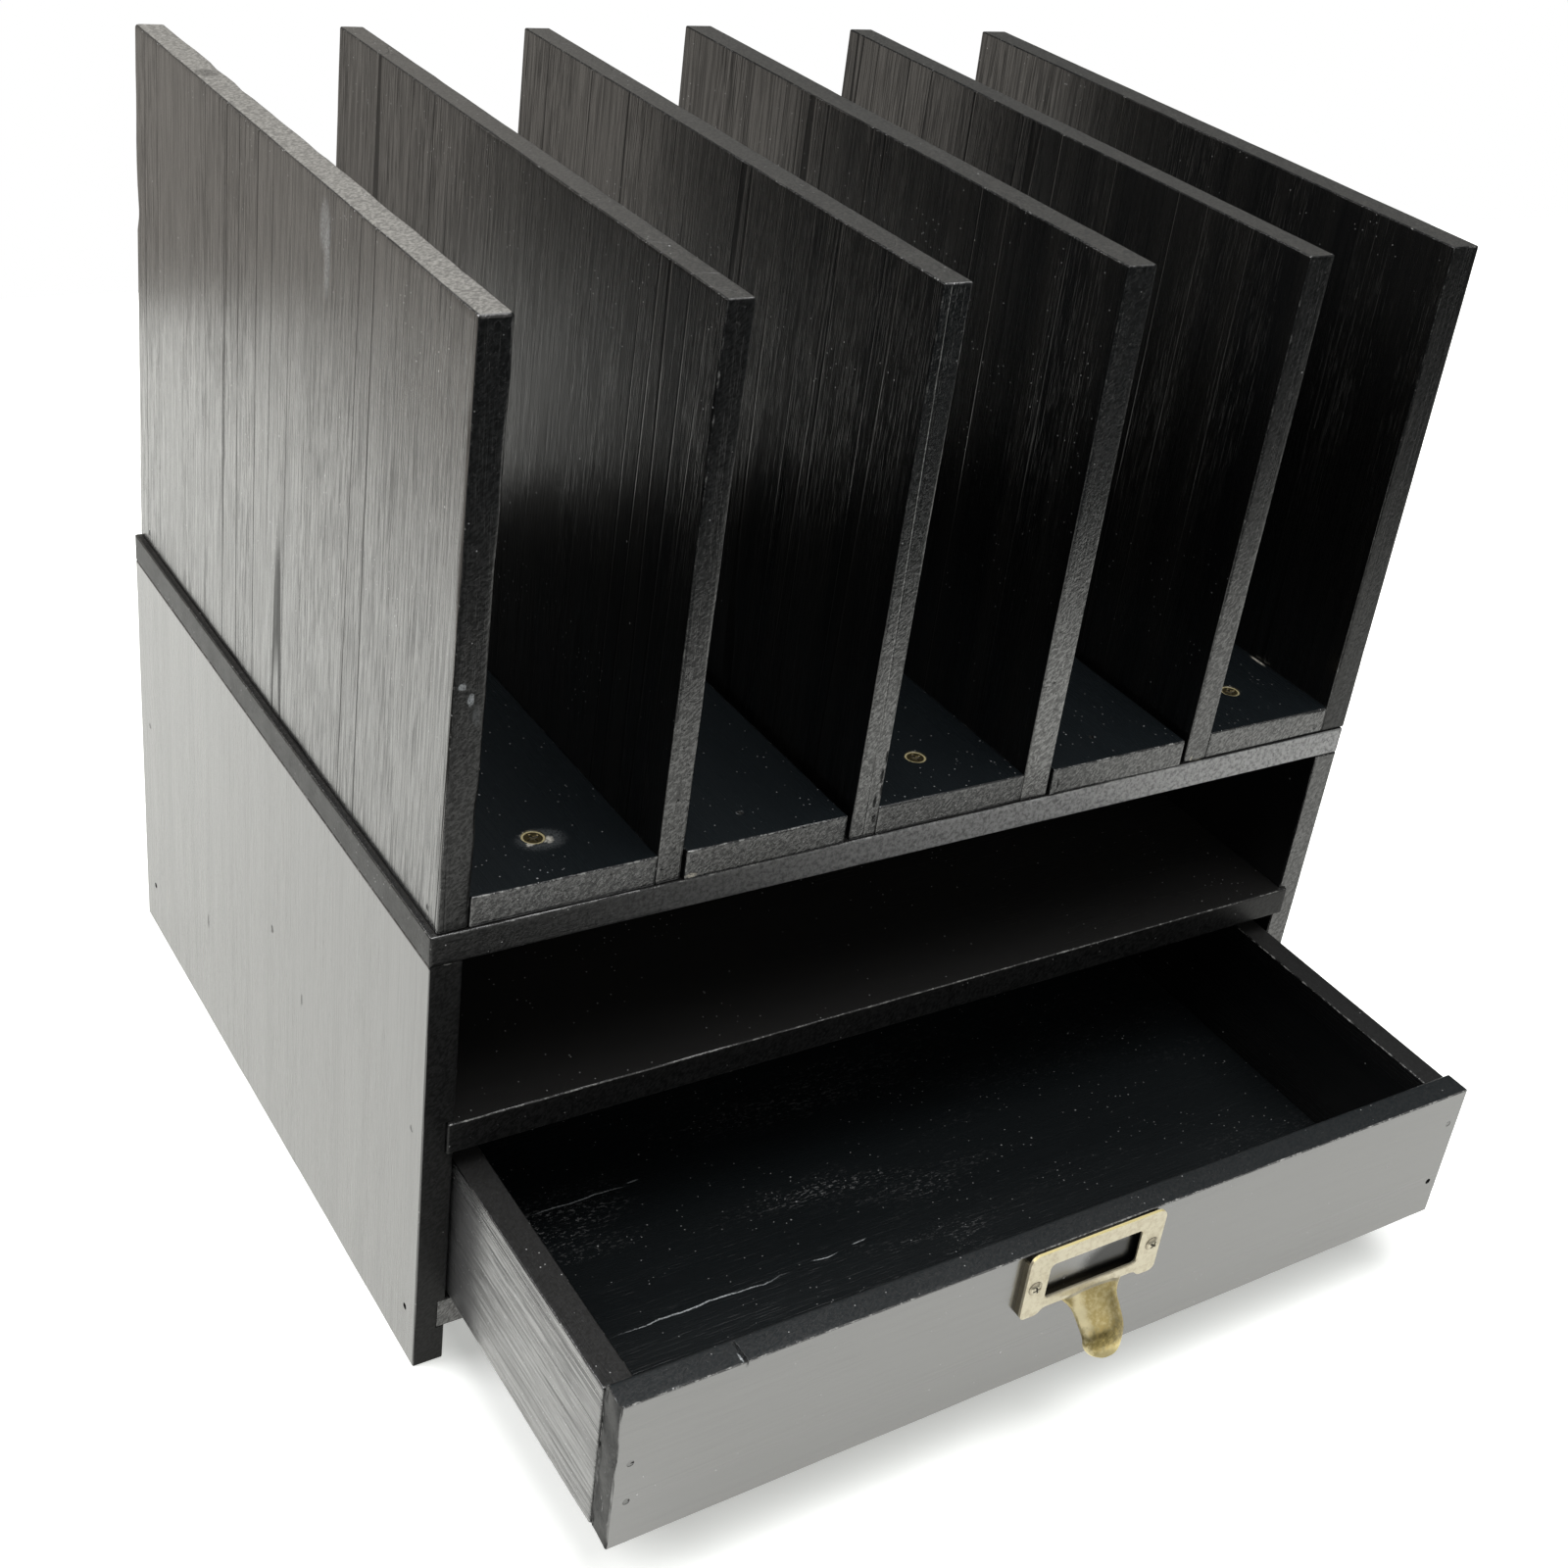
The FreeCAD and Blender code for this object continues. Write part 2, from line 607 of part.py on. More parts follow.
def tongue_section(reach, z, slope, run, length):
    """A crowned cross-section of the tongue, run along from its root."""
    settled = min(1.0, run / TONGUE_SETTLE)
    settled = settled * (2 - settled)
    narrowed = min(1.0, run / (length - TONGUE_TIP_CORNER))
    width = TONGUE_ROOT_WIDTH
    width += (TONGUE_TIP_WIDTH - TONGUE_ROOT_WIDTH) * narrowed
    half = width / 2 + TONGUE_FLARE * (1 - settled)
    crown = TONGUE_ROOT_CROWN
    crown += (TONGUE_CROWN - TONGUE_ROOT_CROWN) * settled
    out = Vector(0, -math.sin(slope), math.cos(slope))
    middle = pull_point(TONGUE_OFFSET, reach, z)

    def bow(level):
        return [middle + RIGHT * x + out * (level - drop)
                for x, drop in ((-half, crown), (0, 0), (half, crown))]

    upper = bow(0)
    lower = bow(-TONGUE_THICKNESS)
    return Part.Wire([Part.Arc(*upper).toShape(),
                      Part.makeLine(upper[2], lower[2]),
                      Part.Arc(*lower[::-1]).toShape(),
                      Part.makeLine(lower[0], upper[0])])


def tongue():
    """The finger tongue: a crowned strip bent down, its tip flared."""
    stations = tongue_stations()
    places = [Vector(0, -reach, z) for reach, z, slope in stations]
    runs = [0.0]
    for first, second in zip(places, places[1:]):
        runs.append(runs[-1] + (second - first).Length)
    blank = Part.makeLoft([tongue_section(*station, run, runs[-1])
                           for station, run in zip(stations, runs)],
                          True, True)

    (reach, z, slope), (start_reach, start_z, _) = stations[-1], stations[0]
    run = reach - start_reach
    fall = start_z - z
    span = math.hypot(run, fall)
    down = Vector(0, -run / span, -fall / span)
    normal = Vector(0, -fall / span, run / span)
    wide = PLATE_WIDTH / 2
    b = TONGUE_TIP_WIDTH / 2 + TIP_FIT
    r = TONGUE_TIP_CORNER
    c = r * (1 - math.sqrt(0.5))
    origin = pull_point(TONGUE_OFFSET, start_reach, start_z)
    origin -= normal * span
    above = -TONGUE_START_DROP
    shoulder = span - r - EAR_CORNER
    spots = ((-wide, above), (-wide, shoulder), (-b, span - r),
             (-b + c, span - c), (-b + r, span), (b - r, span),
             (b - c, span - c), (b, span - r), (wide, shoulder),
             (wide, above))
    p = [origin + RIGHT * x + down * s for x, s in spots]
    outline = Part.Wire([Part.makeLine(p[0], p[1]),
                         Part.makeLine(p[1], p[2]),
                         Part.Arc(p[2], p[3], p[4]).toShape(),
                         Part.makeLine(p[4], p[5]),
                         Part.Arc(p[5], p[6], p[7]).toShape(),
                         Part.makeLine(p[7], p[8]),
                         Part.makeLine(p[8], p[9]),
                         Part.makeLine(p[9], p[0])])
    cutter = Part.Face(outline).extrude(normal * (2 * span))
    behind_plate = box(pull_x - PLATE_WIDTH, pull_x + PLATE_WIDTH,
                       front_face - CARD_SLOT, front_face + span,
                       plate_low - span, plate_top + span)
    return blank.common(cutter).cut(behind_plate)


plate = plate_outline(0, plate_top, CARD_SLOT)
plate = plate.extrude(FRONT * PLATE_THICKNESS)
flange = plate_outline(0, plate_top, 0)
flange = flange.extrude(FRONT * CARD_SLOT)
card_pocket = plate_outline(FLANGE_WIDTH, plate_top + PLATE_HEIGHT, 0)
card_pocket = card_pocket.extrude(FRONT * CARD_SLOT)
above_rim = box(pull_x - PLATE_WIDTH, pull_x + PLATE_WIDTH,
                front_face - CARD_SLOT, front_face,
                plate_top - PLATE_CORNER, plate_top + PLATE_HEIGHT)
flange = flange.cut([card_pocket, above_rim])
window = rounded(window_half, window_low, window_top, WINDOW_CORNER, 0)
window = window.extrude(FRONT * (2 * plate_stand))
plate = plate.cut(window)
window_rim = [e for e in plate.Edges
              if abs(e.CenterOfMass.y - front_face + plate_stand) < HOLE_FIT
              and abs(e.CenterOfMass.z - window_low - WINDOW_HEIGHT / 2)
              < WINDOW_HEIGHT / 2 + HOLE_FIT
              and abs(e.CenterOfMass.x - pull_x) < window_half + HOLE_FIT]
plate = plate.makeChamfer(WINDOW_BEVEL, window_rim)
label_pull = plate.fuse([flange, tongue()]).removeSplitter()
label_pull = drilled(label_pull, pull_screws)

# -------------------------------------------------------------- output
parts = {
    "left_side": left_side,
    "right_side": right_side,
    "case_top": case_top,
    "shelf": shelf,
    "bottom_board": bottom_board,
    "back_panel": back_panel,
    "drawer_front": drawer_front,
    "drawer_left_side": drawer_left_side,
    "drawer_right_side": drawer_right_side,
    "drawer_back": drawer_back,
    "drawer_floor": drawer_floor,
    "label_pull": label_pull,
    "shelf_nails": shelf_nails.group(),
    "bottom_board_nails": bottom_board_nails.group(),
    "case_top_nails": case_top_nails.group(),
    "back_panel_brads": back_panel_brads.group(),
    "bin_nails": bin_nails.group(),
    "rack_screws": rack_screws.group(),
    "filler_brads": filler_brads.group(),
    "drawer_front_nails": drawer_front_nails.group(),
    "drawer_back_nails": drawer_back_nails.group(),
    "pull_screws": pull_screws.group(),
}
for number, wall in enumerate(walls, 1):
    parts["divider_%d" % number] = drilled(wall.solid(), bin_nails)
for name, board in rack_floors.items():
    if name.startswith("filler"):
        parts[name] = drilled(board, filler_brads)
    else:
        parts[name] = drilled(board, bin_nails, rack_screws)

reach_box = label_pull.optimalBoundingBox(False)
centre = Vector(walls[-1].right / 2,
                (CASE_DEPTH + reach_box.YMin) / 2, 0)
os.makedirs("parts", exist_ok=True)
for name, shape in parts.items():
    placed = shape.copy()
    placed.translate(-centre)
    placed.exportStep("parts/%s.step" % name)
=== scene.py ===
"""Looks of the envelope sorter with drawer: black painted boards, a brass label pull, a white table."""

import json
import math
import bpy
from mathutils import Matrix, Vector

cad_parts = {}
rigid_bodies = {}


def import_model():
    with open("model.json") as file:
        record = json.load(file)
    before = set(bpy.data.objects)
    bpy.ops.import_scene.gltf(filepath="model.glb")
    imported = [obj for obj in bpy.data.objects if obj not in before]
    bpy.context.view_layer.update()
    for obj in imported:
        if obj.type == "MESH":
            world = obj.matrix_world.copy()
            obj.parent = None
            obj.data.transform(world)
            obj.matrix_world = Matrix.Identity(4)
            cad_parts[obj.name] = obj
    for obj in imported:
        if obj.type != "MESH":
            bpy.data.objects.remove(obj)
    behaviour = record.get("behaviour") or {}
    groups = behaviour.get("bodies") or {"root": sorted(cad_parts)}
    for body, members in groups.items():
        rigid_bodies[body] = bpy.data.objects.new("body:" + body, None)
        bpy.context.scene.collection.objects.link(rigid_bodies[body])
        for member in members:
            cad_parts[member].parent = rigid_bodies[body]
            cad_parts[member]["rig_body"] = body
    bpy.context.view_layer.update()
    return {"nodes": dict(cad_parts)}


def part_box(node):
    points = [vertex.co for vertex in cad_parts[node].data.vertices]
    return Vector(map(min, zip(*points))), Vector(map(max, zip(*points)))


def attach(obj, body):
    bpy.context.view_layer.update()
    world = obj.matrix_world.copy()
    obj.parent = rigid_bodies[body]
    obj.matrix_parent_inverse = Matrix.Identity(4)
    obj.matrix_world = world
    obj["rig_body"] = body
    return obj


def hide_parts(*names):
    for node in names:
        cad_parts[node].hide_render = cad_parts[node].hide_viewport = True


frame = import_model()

from types import SimpleNamespace

import bmesh
import bpy
from mathutils import Euler, Vector, noise

MM = 0.001
X, Y, Z = 0, 1, 2
AXES = (Vector((1, 0, 0)), Vector((0, 1, 0)), Vector((0, 0, 1)))

# The camera, in the row frame. The shift is the crop's: its centre isn't where the lens points.
CAMERA_PLACE = Vector((-452.19, -622.26, 621.84)) * MM
CAMERA_TURN = Euler([math.radians(a) for a in (59.632, -8.713, -34.138)])
CAMERA_LENS = 49.3
CAMERA_SENSOR = 36
CAMERA_SHIFT = (-0.0945, -0.0094)
CAMERA_CLIP = 0.02

# Meshes read from the CAD solids: vertices nearer than this are one, and flatter edges than this go.
SAME_PLACE = 1e-6
FLAT_ANGLE = math.radians(0.5)

# Arrises: the paint is worn along them, some carry a painted highlight line, and the wood under the paint is
# rounded unevenly.
ARRIS_RADIUS = 0.7 * MM
ARRIS_ROWS = (0.35 * MM, 0.8 * MM, 1.5 * MM, 3.0 * MM)
ARRIS_REACH = 2.2 * MM
ARRIS_STEP = 9 * MM
TEAR_DEPTH = 1.5 * MM

# The coat's shine is what the black paint shows: what lies under it reflects little.
PAINT_IOR = 1.25
COAT_IOR = 2.45
COAT_ROUGHNESS = 0.2
PAINT_DEPTH = 0.05 * MM


# ---------------------------------------------------------------- node trees

class Tree:
    """Short calls that build one node tree."""

    def __init__(self, owner):
        owner.use_nodes = True
        self.nodes = owner.node_tree.nodes
        self.links = owner.node_tree.links
        self.nodes.clear()

    def add(self, kind, inputs=None, **settings):
        node = self.nodes.new(kind)
        for name, value in settings.items():
            setattr(node, name, value)
        for name, value in (inputs or {}).items():
            self.feed(node.inputs[name], value)
        return node

    def feed(self, socket, value):
        if isinstance(value, bpy.types.NodeSocket):
            self.links.new(value, socket)
        else:
            socket.default_value = value

    def math(self, operation, first, second=0.0, clamp=False):
        inputs = {0: first, 1: second}
        return self.add("ShaderNodeMath", inputs, operation=operation, use_clamp=clamp).outputs[0]

    def product(self, first, *others):
        for other in others:
            first = self.math("MULTIPLY", first, other)
        return first

    def dimmed(self, value, mask, share=1.0):
        """value, less a share of it where the mask is 1."""
        return self.product(value, self.math("SUBTRACT", 1.0, self.product(mask, share)))

    def gap(self, first, second):
        """How far two values are apart."""
        return self.math("ABSOLUTE", self.math("SUBTRACT", first, second))

    def vector(self, operation, first, second=(0, 0, 0)):
        node = self.add("ShaderNodeVectorMath", {0: first, 1: second}, operation=operation)
        return node.outputs["Value" if operation == "LENGTH" else "Vector"]

    def shaken(self, vector, shake, reach):
        """vector, moved by a random shake of up to half the reach, which may differ on each axis."""
        return self.vector("ADD", vector, self.vector("MULTIPLY", shake, reach))

    def parts(self, vector):
        """The three numbers of a vector."""
        return self.add("ShaderNodeSeparateXYZ", {0: vector}).outputs

    def span(self, value, low, high, to_low=0.0, to_high=1.0, smooth=True):
        """value from low..high to to_low..to_high, held at both ends."""
        kind = "SMOOTHSTEP" if smooth else "LINEAR"
        inputs = {"Value": value, "From Min": low, "From Max": high, "To Min": to_low, "To Max": to_high}
        return self.add("ShaderNodeMapRange", inputs, interpolation_type=kind, clamp=True).outputs["Result"]

    def place(self):
        """A point's place in the row frame, as the pieces' objects sit at the origin."""
        return self.add("ShaderNodeTexCoord").outputs["Object"]

    def facing(self):
        """The direction a face looks in, as three numbers."""
        return self.parts(self.add("ShaderNodeNewGeometry").outputs["True Normal"])

    def attribute(self, name):
        """A number kept at the mesh's vertices."""
        return self.add("ShaderNodeAttribute", attribute_name=name).outputs["Fac"]

    def drawn_out(self, vector, direction, stretch):
        """vector with its patterns stretched along a direction."""
        turn = Vector(direction).to_track_quat("X", "Z").to_euler()
        inputs = {"Vector": vector, "Rotation": turn, "Scale": (stretch, 1, 1)}
        return self.add("ShaderNodeMapping", inputs, vector_type="TEXTURE").outputs["Vector"]

    def noise(self, vector, scale, detail=2.0, roughness=0.5, output="Fac"):
        inputs = {"Vector": vector, "Scale": scale, "Detail": detail, "Roughness": roughness}
        return self.add("ShaderNodeTexNoise", inputs).outputs[output]

    def shake(self, vector, scale, detail=2.0, roughness=0.5):
        """Random numbers around nought for the three axes."""
        colour = self.noise(vector, scale, detail, roughness, output="Color")
        return self.vector("SUBTRACT", colour, (0.5, 0.5, 0.5))

    def blend(self, factor, first, second):
        node = self.add("ShaderNodeMix", data_type="RGBA")
        factor_socket, first_socket, second_socket = 0, 6, 7
        self.feed(node.inputs[factor_socket], factor)
        self.feed(node.inputs[first_socket], first)
        self.feed(node.inputs[second_socket], second)
        return node.outputs[2]

    def bump(self, height, depth):
        inputs = {"Height": height, "Distance": depth, "Strength": 1.0}
        return self.add("ShaderNodeBump", inputs).outputs["Normal"]

    def surface(self, inputs):
        """Ends a material with one Principled surface."""
        shader = self.add("ShaderNodeBsdfPrincipled", inputs)
        self.add("ShaderNodeOutputMaterial", {"Surface": shader.outputs[0]})


def new_material(name):
    material = bpy.data.materials.new(name)
    return material, Tree(material)


def grey(value, tint=(1, 1, 1)):
    return (value * tint[0], value * tint[1], value * tint[2], 1)


def link(name, data):
    """A new object at the origin, in the scene."""
    thing = bpy.data.objects.new(name, data)
    bpy.context.scene.collection.objects.link(thing)
    return thing


# ---------------------------------------------------------------- marks on single boards

BLACK = grey(0.003, (0.92, 1.0, 1.08))
WORN_AND_HIGHLIGHT_COLOUR = grey(0.42, (1.0, 1.0, 0.96))
CHALK = grey(0.5, (0.95, 1.0, 1.03))
CREAM = (0.74, 0.70, 0.60, 1)

# What each mark is, its centre and its half sizes in millimetres.
MARKS = {
    "divider_1": [
        ("chalk", (-203.4, -84.2, 290.0), (1.9, 3, 1.5)),
        ("chalk", (-200.2, -84.2, 285.0), (1.4, 3, 2.6)),
        ("haze", (-198.0, -84.2, 279.0), (1.8, 3, 5.0)),
        ("smear", (-204.1, 33.0, 397.0), (4, 6.0, 11.0)),
        ("smear", (-204.4, 30.4, 386.0), (4, 3.0, 14.0)),
        ("stain", (-199.0, 164.0, 411.0), (6, 7, 3)),
        ("split", (-206.0, 221.0, 300.0), (6, 0.40, 130)),
        ("split", (-206.0, 129.0, 330.0), (6, 0.60, 125)),
        ("split", (-206.0, 80.6, 340.0), (6, 0.50, 105)),
        ("split", (-206.0, 63.3, 290.0), (6, 0.35, 120)),
    ],
    "divider_2": [("flake", (-112.6, -84.2, 198.5), (3.4, 3, 1.5))],
    "divider_3": [
        ("pit", (-36.6, -84.2, 204.5), (0.9, 3, 2.2)),
        ("pit", (-37.4, -84.2, 212.0), (0.8, 3, 3.0)),
        ("pit", (-35.2, -84.2, 216.5), (0.8, 3, 2.6)),
        ("pit", (-36.0, -84.2, 223.0), (0.7, 3, 3.6)),
        ("pit", (-35.2, -84.2, 231.0), (0.5, 3, 3.0)),
    ],
    "divider_5": [
        ("flake", (121.6, -84.2, 198.6), (1.0, 3, 1.6)),
        ("flake", (125.0, -84.2, 197.3), (3.6, 3, 0.7)),
    ],
    "bin_floor_1": [
        ("flake", (-163.5, -55.8, 209.0), (3.2, 2.2, 2)),
        ("flake", (-157.8, -60.8, 209.0), (2.4, 2.6, 2)),
        ("flake", (-164.8, -61.5, 209.0), (2.0, 1.6, 2)),
        ("haze", (-160.0, -60.0, 209.0), (11, 8, 2)),
    ],
    "filler_floor_2": [
        ("chalk", (-85.8, -68.9, 209.0), (1.9, 1.1, 2)),
        ("flake", (-113.6, -85.2, 198.6), (3.0, 2, 1.2)),
    ],
    "filler_floor_4": [
        ("chalk", (78.9, -69.4, 209.0), (1.2, 0.8, 2)),
        ("pit", (50.2, -85.2, 201.5), (0.5, 2, 3.0)),
    ],
    "bin_floor_5": [("flake", (195.4, -40.0, 209.0), (1.0, 6.0, 1.5))],
    "left_side": [
        ("pit", (-210.7, 144.1, 53.0), (3, 1.0, 4.2)),
        ("pit", (-210.7, 64.5, 101.6), (3, 1.4, 2.4)),
        ("pit", (-210.7, 31.7, 89.7), (3, 0.8, 3.4)),
    ],
    "drawer_floor": [
        ("scratch", (-134.5, -63.0, 35.8), (24, 0.42, 2)),
        ("scratch", (-117.0, -133.3, 35.8), (42, 0.45, 2)),
        ("scratch", (-62.0, -130.9, 35.8), (7, 0.3, 2)),
        ("scratch", (-45.0, -129.8, 35.8), (4, 0.3, 2)),
        ("scratch", (-110.1, -61.6, 35.8), (3, 0.4, 2)),
    ],
    "drawer_front_nails": [
        ("pit", (-190.4, -213.1, 69.4), (1.3, 3, 0.4)),
        ("pit", (-190.2, -213.1, 51.5), (1.1, 3, 0.4)),
    ],
    "drawer_front": [
        ("pit", (-151.2, -208.5, 97.0), (0.85, 8, 4)),
        ("chalk", (-152.6, -210.6, 97.0), (0.45, 2.6, 3)),
        # Painted shade on the front behind the pull's window: black, with far less shine.
        ("painted_shade", (8.0, -213.2, 80.0), (20, 3, 11)),
    ],
}
# A mark's colour and how strongly it covers, how far it stands up, and how much shine it takes away.
MARK_LOOKS = {
    "chalk": dict(colour=CHALK, strength=0.85, rise=0.6, dull=0.5),
    "haze": dict(colour=CHALK, strength=0.16, rise=0.0, dull=0.2),
    "smear": dict(colour=CHALK, strength=0.34, rise=0.0, dull=0.0),
    "flake": dict(colour=CREAM, strength=0.9, rise=-1.5, dull=0.8),
    "scratch": dict(colour=CHALK, strength=1.0, rise=-1.0, dull=0.3),
    "pit": dict(colour=BLACK, strength=0.9, rise=-4.0, dull=0.9),
    "split": dict(colour=BLACK, strength=0.9, rise=-2.0, dull=0.85),
    "stain": dict(colour=BLACK, strength=0.6, rise=0.0, dull=0.4),
    "painted_shade": dict(colour=BLACK, strength=0.9, rise=0.0, dull=0.8),
}
UNBROKEN = ("painted_shade", "split")
MARK_RAGGED = 3.0 * MM
RAGGED_SHARE = 1.6
MARK_SWAY = 5.0 * MM


def mark_mask(t, place, centre, size):
    """1 within half an ellipsoid's reach of its centre, fading to 0 at its surface."""
    away = t.vector("SUBTRACT", place, Vector(centre) * MM)
    away = t.vector("DIVIDE", away, Vector(size) * MM)
    return t.span(t.vector("LENGTH", away), 0.5, 1.0, 1.0, 0.0)


def with_marks(t, node, place, colour, height, shine):
    """Adds a board's own marks to its colour, its bump and its shine."""
    shake = t.shake(place, 900, detail=3, roughness=0.7)
    broken = t.span(t.noise(place, 1300, detail=3, roughness=0.8), 0.38, 0.56, 0.25, 1.0)
    swayed = t.shaken(place, t.shake(place, 55), (0, MARK_SWAY, 0))
    for kind, centre, size in MARKS.get(node, []):
        look = MARK_LOOKS[kind]
        reach = min(MARK_RAGGED, RAGGED_SHARE * min(size) * MM)
        start = swayed if kind == "scratch" else place
        mask = mark_mask(t, t.shaken(start, shake, (reach, reach, reach)), centre, size)
        if kind not in UNBROKEN:
            mask = t.product(mask, broken)
        colour = t.blend(t.product(mask, look["strength"]), colour, look["colour"])
        height = t.math("ADD", height, t.product(mask, look["rise"]))
        shine = t.dimmed(shine, mask, look["dull"])
    return colour, height, shine


# ---------------------------------------------------------------- black paint

# The paint as most boards have it. A board names only what differs on it.
PAINT = dict(
    fibre=1.0,              # how deep the grain stands in the paint
    streaks=0.3,            # dark streaks along the grain
    splits=0.0,             # splits and fine ridges along the grain
    speckled=0.25,          # how many white specks lie on it
    grit=0.0,               # rough grains in the paint near the drawer's front
    shine=1.0,              # how strongly the broad faces reflect
    shine_slope=0.0,        # how much more they do so at a wall's top, and less at its foot
    edge_shine=0.54,        # how strongly the narrow faces reflect
    edge_fade=(1, 1),       # that at a wall's foot and at its top, as shares of edge_shine
    top_shine=None,         # how strongly the faces that look up reflect, where it isn't edge_shine
    coat_ior=COAT_IOR,
    tint=(1.0, 0.98, 0.95),
    wash=0.0,               # thin grey paint on the left face
    dust=0.02,              # how pale dust makes the faces that look up
    arris_line=0.7,         # how strong the painted highlight line along the chosen arrises is
    torn=0.0,               # pale torn wood on the left end
    pale_right=0.0,         # how pale the narrow faces turn towards the right
)
SEED_STEP = Vector((1.0, 1.7, 2.3)) * 0.37
SAW_SLANT = (1.0, 0.8, 0.9)


def sides(t, thin):
    """Which way a place faces: on one of a board's narrow edges, up, or to the left."""
    normal = t.facing()
    broad = t.span(t.math("ABSOLUTE", normal[thin]), 0.6, 0.8)
    return {
        "edge": t.math("SUBTRACT", 1.0, broad),
        "up": t.span(normal[Z], 0.8, 0.95),
        "left": t.span(t.product(normal[X], -1.0), 0.8, 0.95),
    }


def grain_lines(t, free, along):
    """What the wood's grain gives the paint: fibres, dark streaks, splits, ridges and slow bands."""
    through = t.drawn_out(free, along, 700)
    zones = t.span(t.noise(t.drawn_out(free, along, 9), 30), 0.36, 0.6)
    streaks = t.span(t.noise(t.drawn_out(free, along, 34), 1200, roughness=0.7), 0.52, 0.62)
    return {
        "fine": t.noise(t.drawn_out(free, along, 66), 960, detail=3, roughness=0.8),
        "streaks": t.product(streaks, t.span(zones, 0, 1, 0.3, 1.0)),
        "split": t.span(t.gap(t.noise(through, 34, detail=1), 0.57), 0.003, 0.008, 1.0, 0.0),
        "ridge": t.span(t.gap(t.noise(through, 60, detail=1), 0.44), 0.003, 0.010, 1.0, 0.0),
        "bands": t.noise(through, 70, detail=3),
    }


def sawn_edge(t, free):
    """What a sawn and sanded narrow edge gives the paint: slanted scratches, waves and pits."""
    wavy = t.shaken(free, t.shake(free, 70), (2 * MM, 2 * MM, 2 * MM))
    return {
        "scratches": t.span(t.noise(t.drawn_out(wavy, SAW_SLANT, 14), 1050, roughness=0.6), 0.36, 0.64),
        "waves": t.noise(wavy, 520, detail=4, roughness=0.75),
        "pits": t.span(t.noise(wavy, 560, detail=4, roughness=0.8), 0.62, 0.68),
    }


def specks(t, free, size, radius, crowd):
    """White specks of dust and flaked paint: one in each chosen cell, more of them where crowd is high."""
    cells = t.add("ShaderNodeTexVoronoi", {"Vector": free, "Scale": 1 / size})
    chance = t.add("ShaderNodeSeparateColor", {0: cells.outputs["Color"]}).outputs[0]
    chosen = t.math("GREATER_THAN", chance, t.math("SUBTRACT", 1.0, crowd))
    reach = radius / size
    return t.product(t.span(cells.outputs["Distance"], 0.6 * reach, reach, 1.0, 0.0), chosen)


def dust_specks(t, free, up, speckled):
    """Small and large specks, in drifts, and more of them on faces that look up."""
    crowd = t.span(t.noise(free, 34, detail=3), 0.42, 0.66, 0.1 * speckled, speckled)
    crowd = t.product(crowd, t.span(up, 0, 1, 1.0, 1.8))
    small = specks(t, free, 2.6 * MM, 0.30 * MM, crowd)
    large = specks(t, free, 7.5 * MM, 0.45 * MM, t.product(crowd, 0.8))
    return t.math("MAXIMUM", small, large)


def grit_grains(t, free, at, along, grit):
    """Rough grains in drifts along the grain, strongest at the front left of the drawer's floor."""
    drifts = t.span(t.noise(t.drawn_out(free, along, 4), 26, detail=3), 0.46, 0.66)
    grains = t.span(t.noise(t.drawn_out(free, along, 2.5), 1050, detail=3, roughness=0.75), 0.56, 0.66)
    near_front = t.span(at[Y], -0.09, 0.02, grit, 0.25 * grit)
    near_left = t.span(at[X], -0.03, 0.08, 1.0, 0.2)
    return t.product(grains, drifts, near_front, near_left)


def rubbed(t, free, arris_line):
    """Where paint is rubbed off, in patches along every arris, and a painted highlight: a crisp bright line
    on the arrises chosen for it.
    """
    rub = t.product(t.math("SUBTRACT", t.noise(free, 240, detail=4, roughness=0.8), 0.5), 1.5)
    patches = t.span(t.math("ADD", t.attribute("arris"), rub), 0.95, 1.12)
    # The crisp line is a painted highlight along the chosen arrises.
    highlight_line = t.span(t.math("ADD", t.attribute("bright"), t.product(rub, 0.35)), 0.8, 0.92)
    return t.math("MAXIMUM", t.product(patches, 0.45), t.product(highlight_line, arris_line))


def paint_colour(t, coat, look):
    """The colour under the coat: black bands, dust, washes, rubbed wood and painted highlight lines, from the
    lowest layer up.
    """
    side, lines, rough = coat["side"], coat["lines"], coat["rough"]
    colour = t.blend(t.span(lines["bands"], 0.35, 0.7), BLACK, grey(0.006, look.tint))
    dusted = t.product(t.span(rough["waves"], 0.35, 0.65, 0.75, 1.0), side["up"])
    colour = t.blend(dusted, colour, grey(look.dust, look.tint))
    mottle = t.noise(coat["free"], 48, detail=4, roughness=0.65)
    brushed = t.math("ADD", t.product(lines["fine"], 0.7), t.product(mottle, 0.3))
    brushed = t.product(t.span(brushed, 0.4, 0.58, 0.5, 1.0), side["left"], look.wash)
    colour = t.blend(brushed, colour, grey(0.2))
    colour = t.blend(t.product(rough["scratches"], side["edge"], 0.5), colour, grey(0.03))
    if look.pale_right:
        pale = t.span(coat["at"][X], -0.2, 0.18, 0.0, look.pale_right)
        pale = t.product(pale, t.span(rough["waves"], 0.35, 0.6, 0.4, 1.0), side["edge"])
        colour = t.blend(pale, colour, grey(0.55))
    if look.torn:
        tears = t.noise(t.drawn_out(coat["free"], AXES[Z], 9), 640, detail=4, roughness=0.8)
        tears = t.product(t.span(tears, 0.65, 0.7), side["left"], look.torn)
        colour = t.blend(tears, colour, grey(0.4))
    colour = t.blend(t.product(coat["grains"], 0.45), colour, grey(0.3))
    # Rubbed wood along the arrises, and a painted highlight line on the chosen ones.
    colour = t.blend(coat["worn"], colour, WORN_AND_HIGHLIGHT_COLOUR)
    specks_seen = dust_specks(t, coat["free"], side["up"], look.speckled)
    return t.blend(t.product(specks_seen, 0.7), colour, grey(0.55))


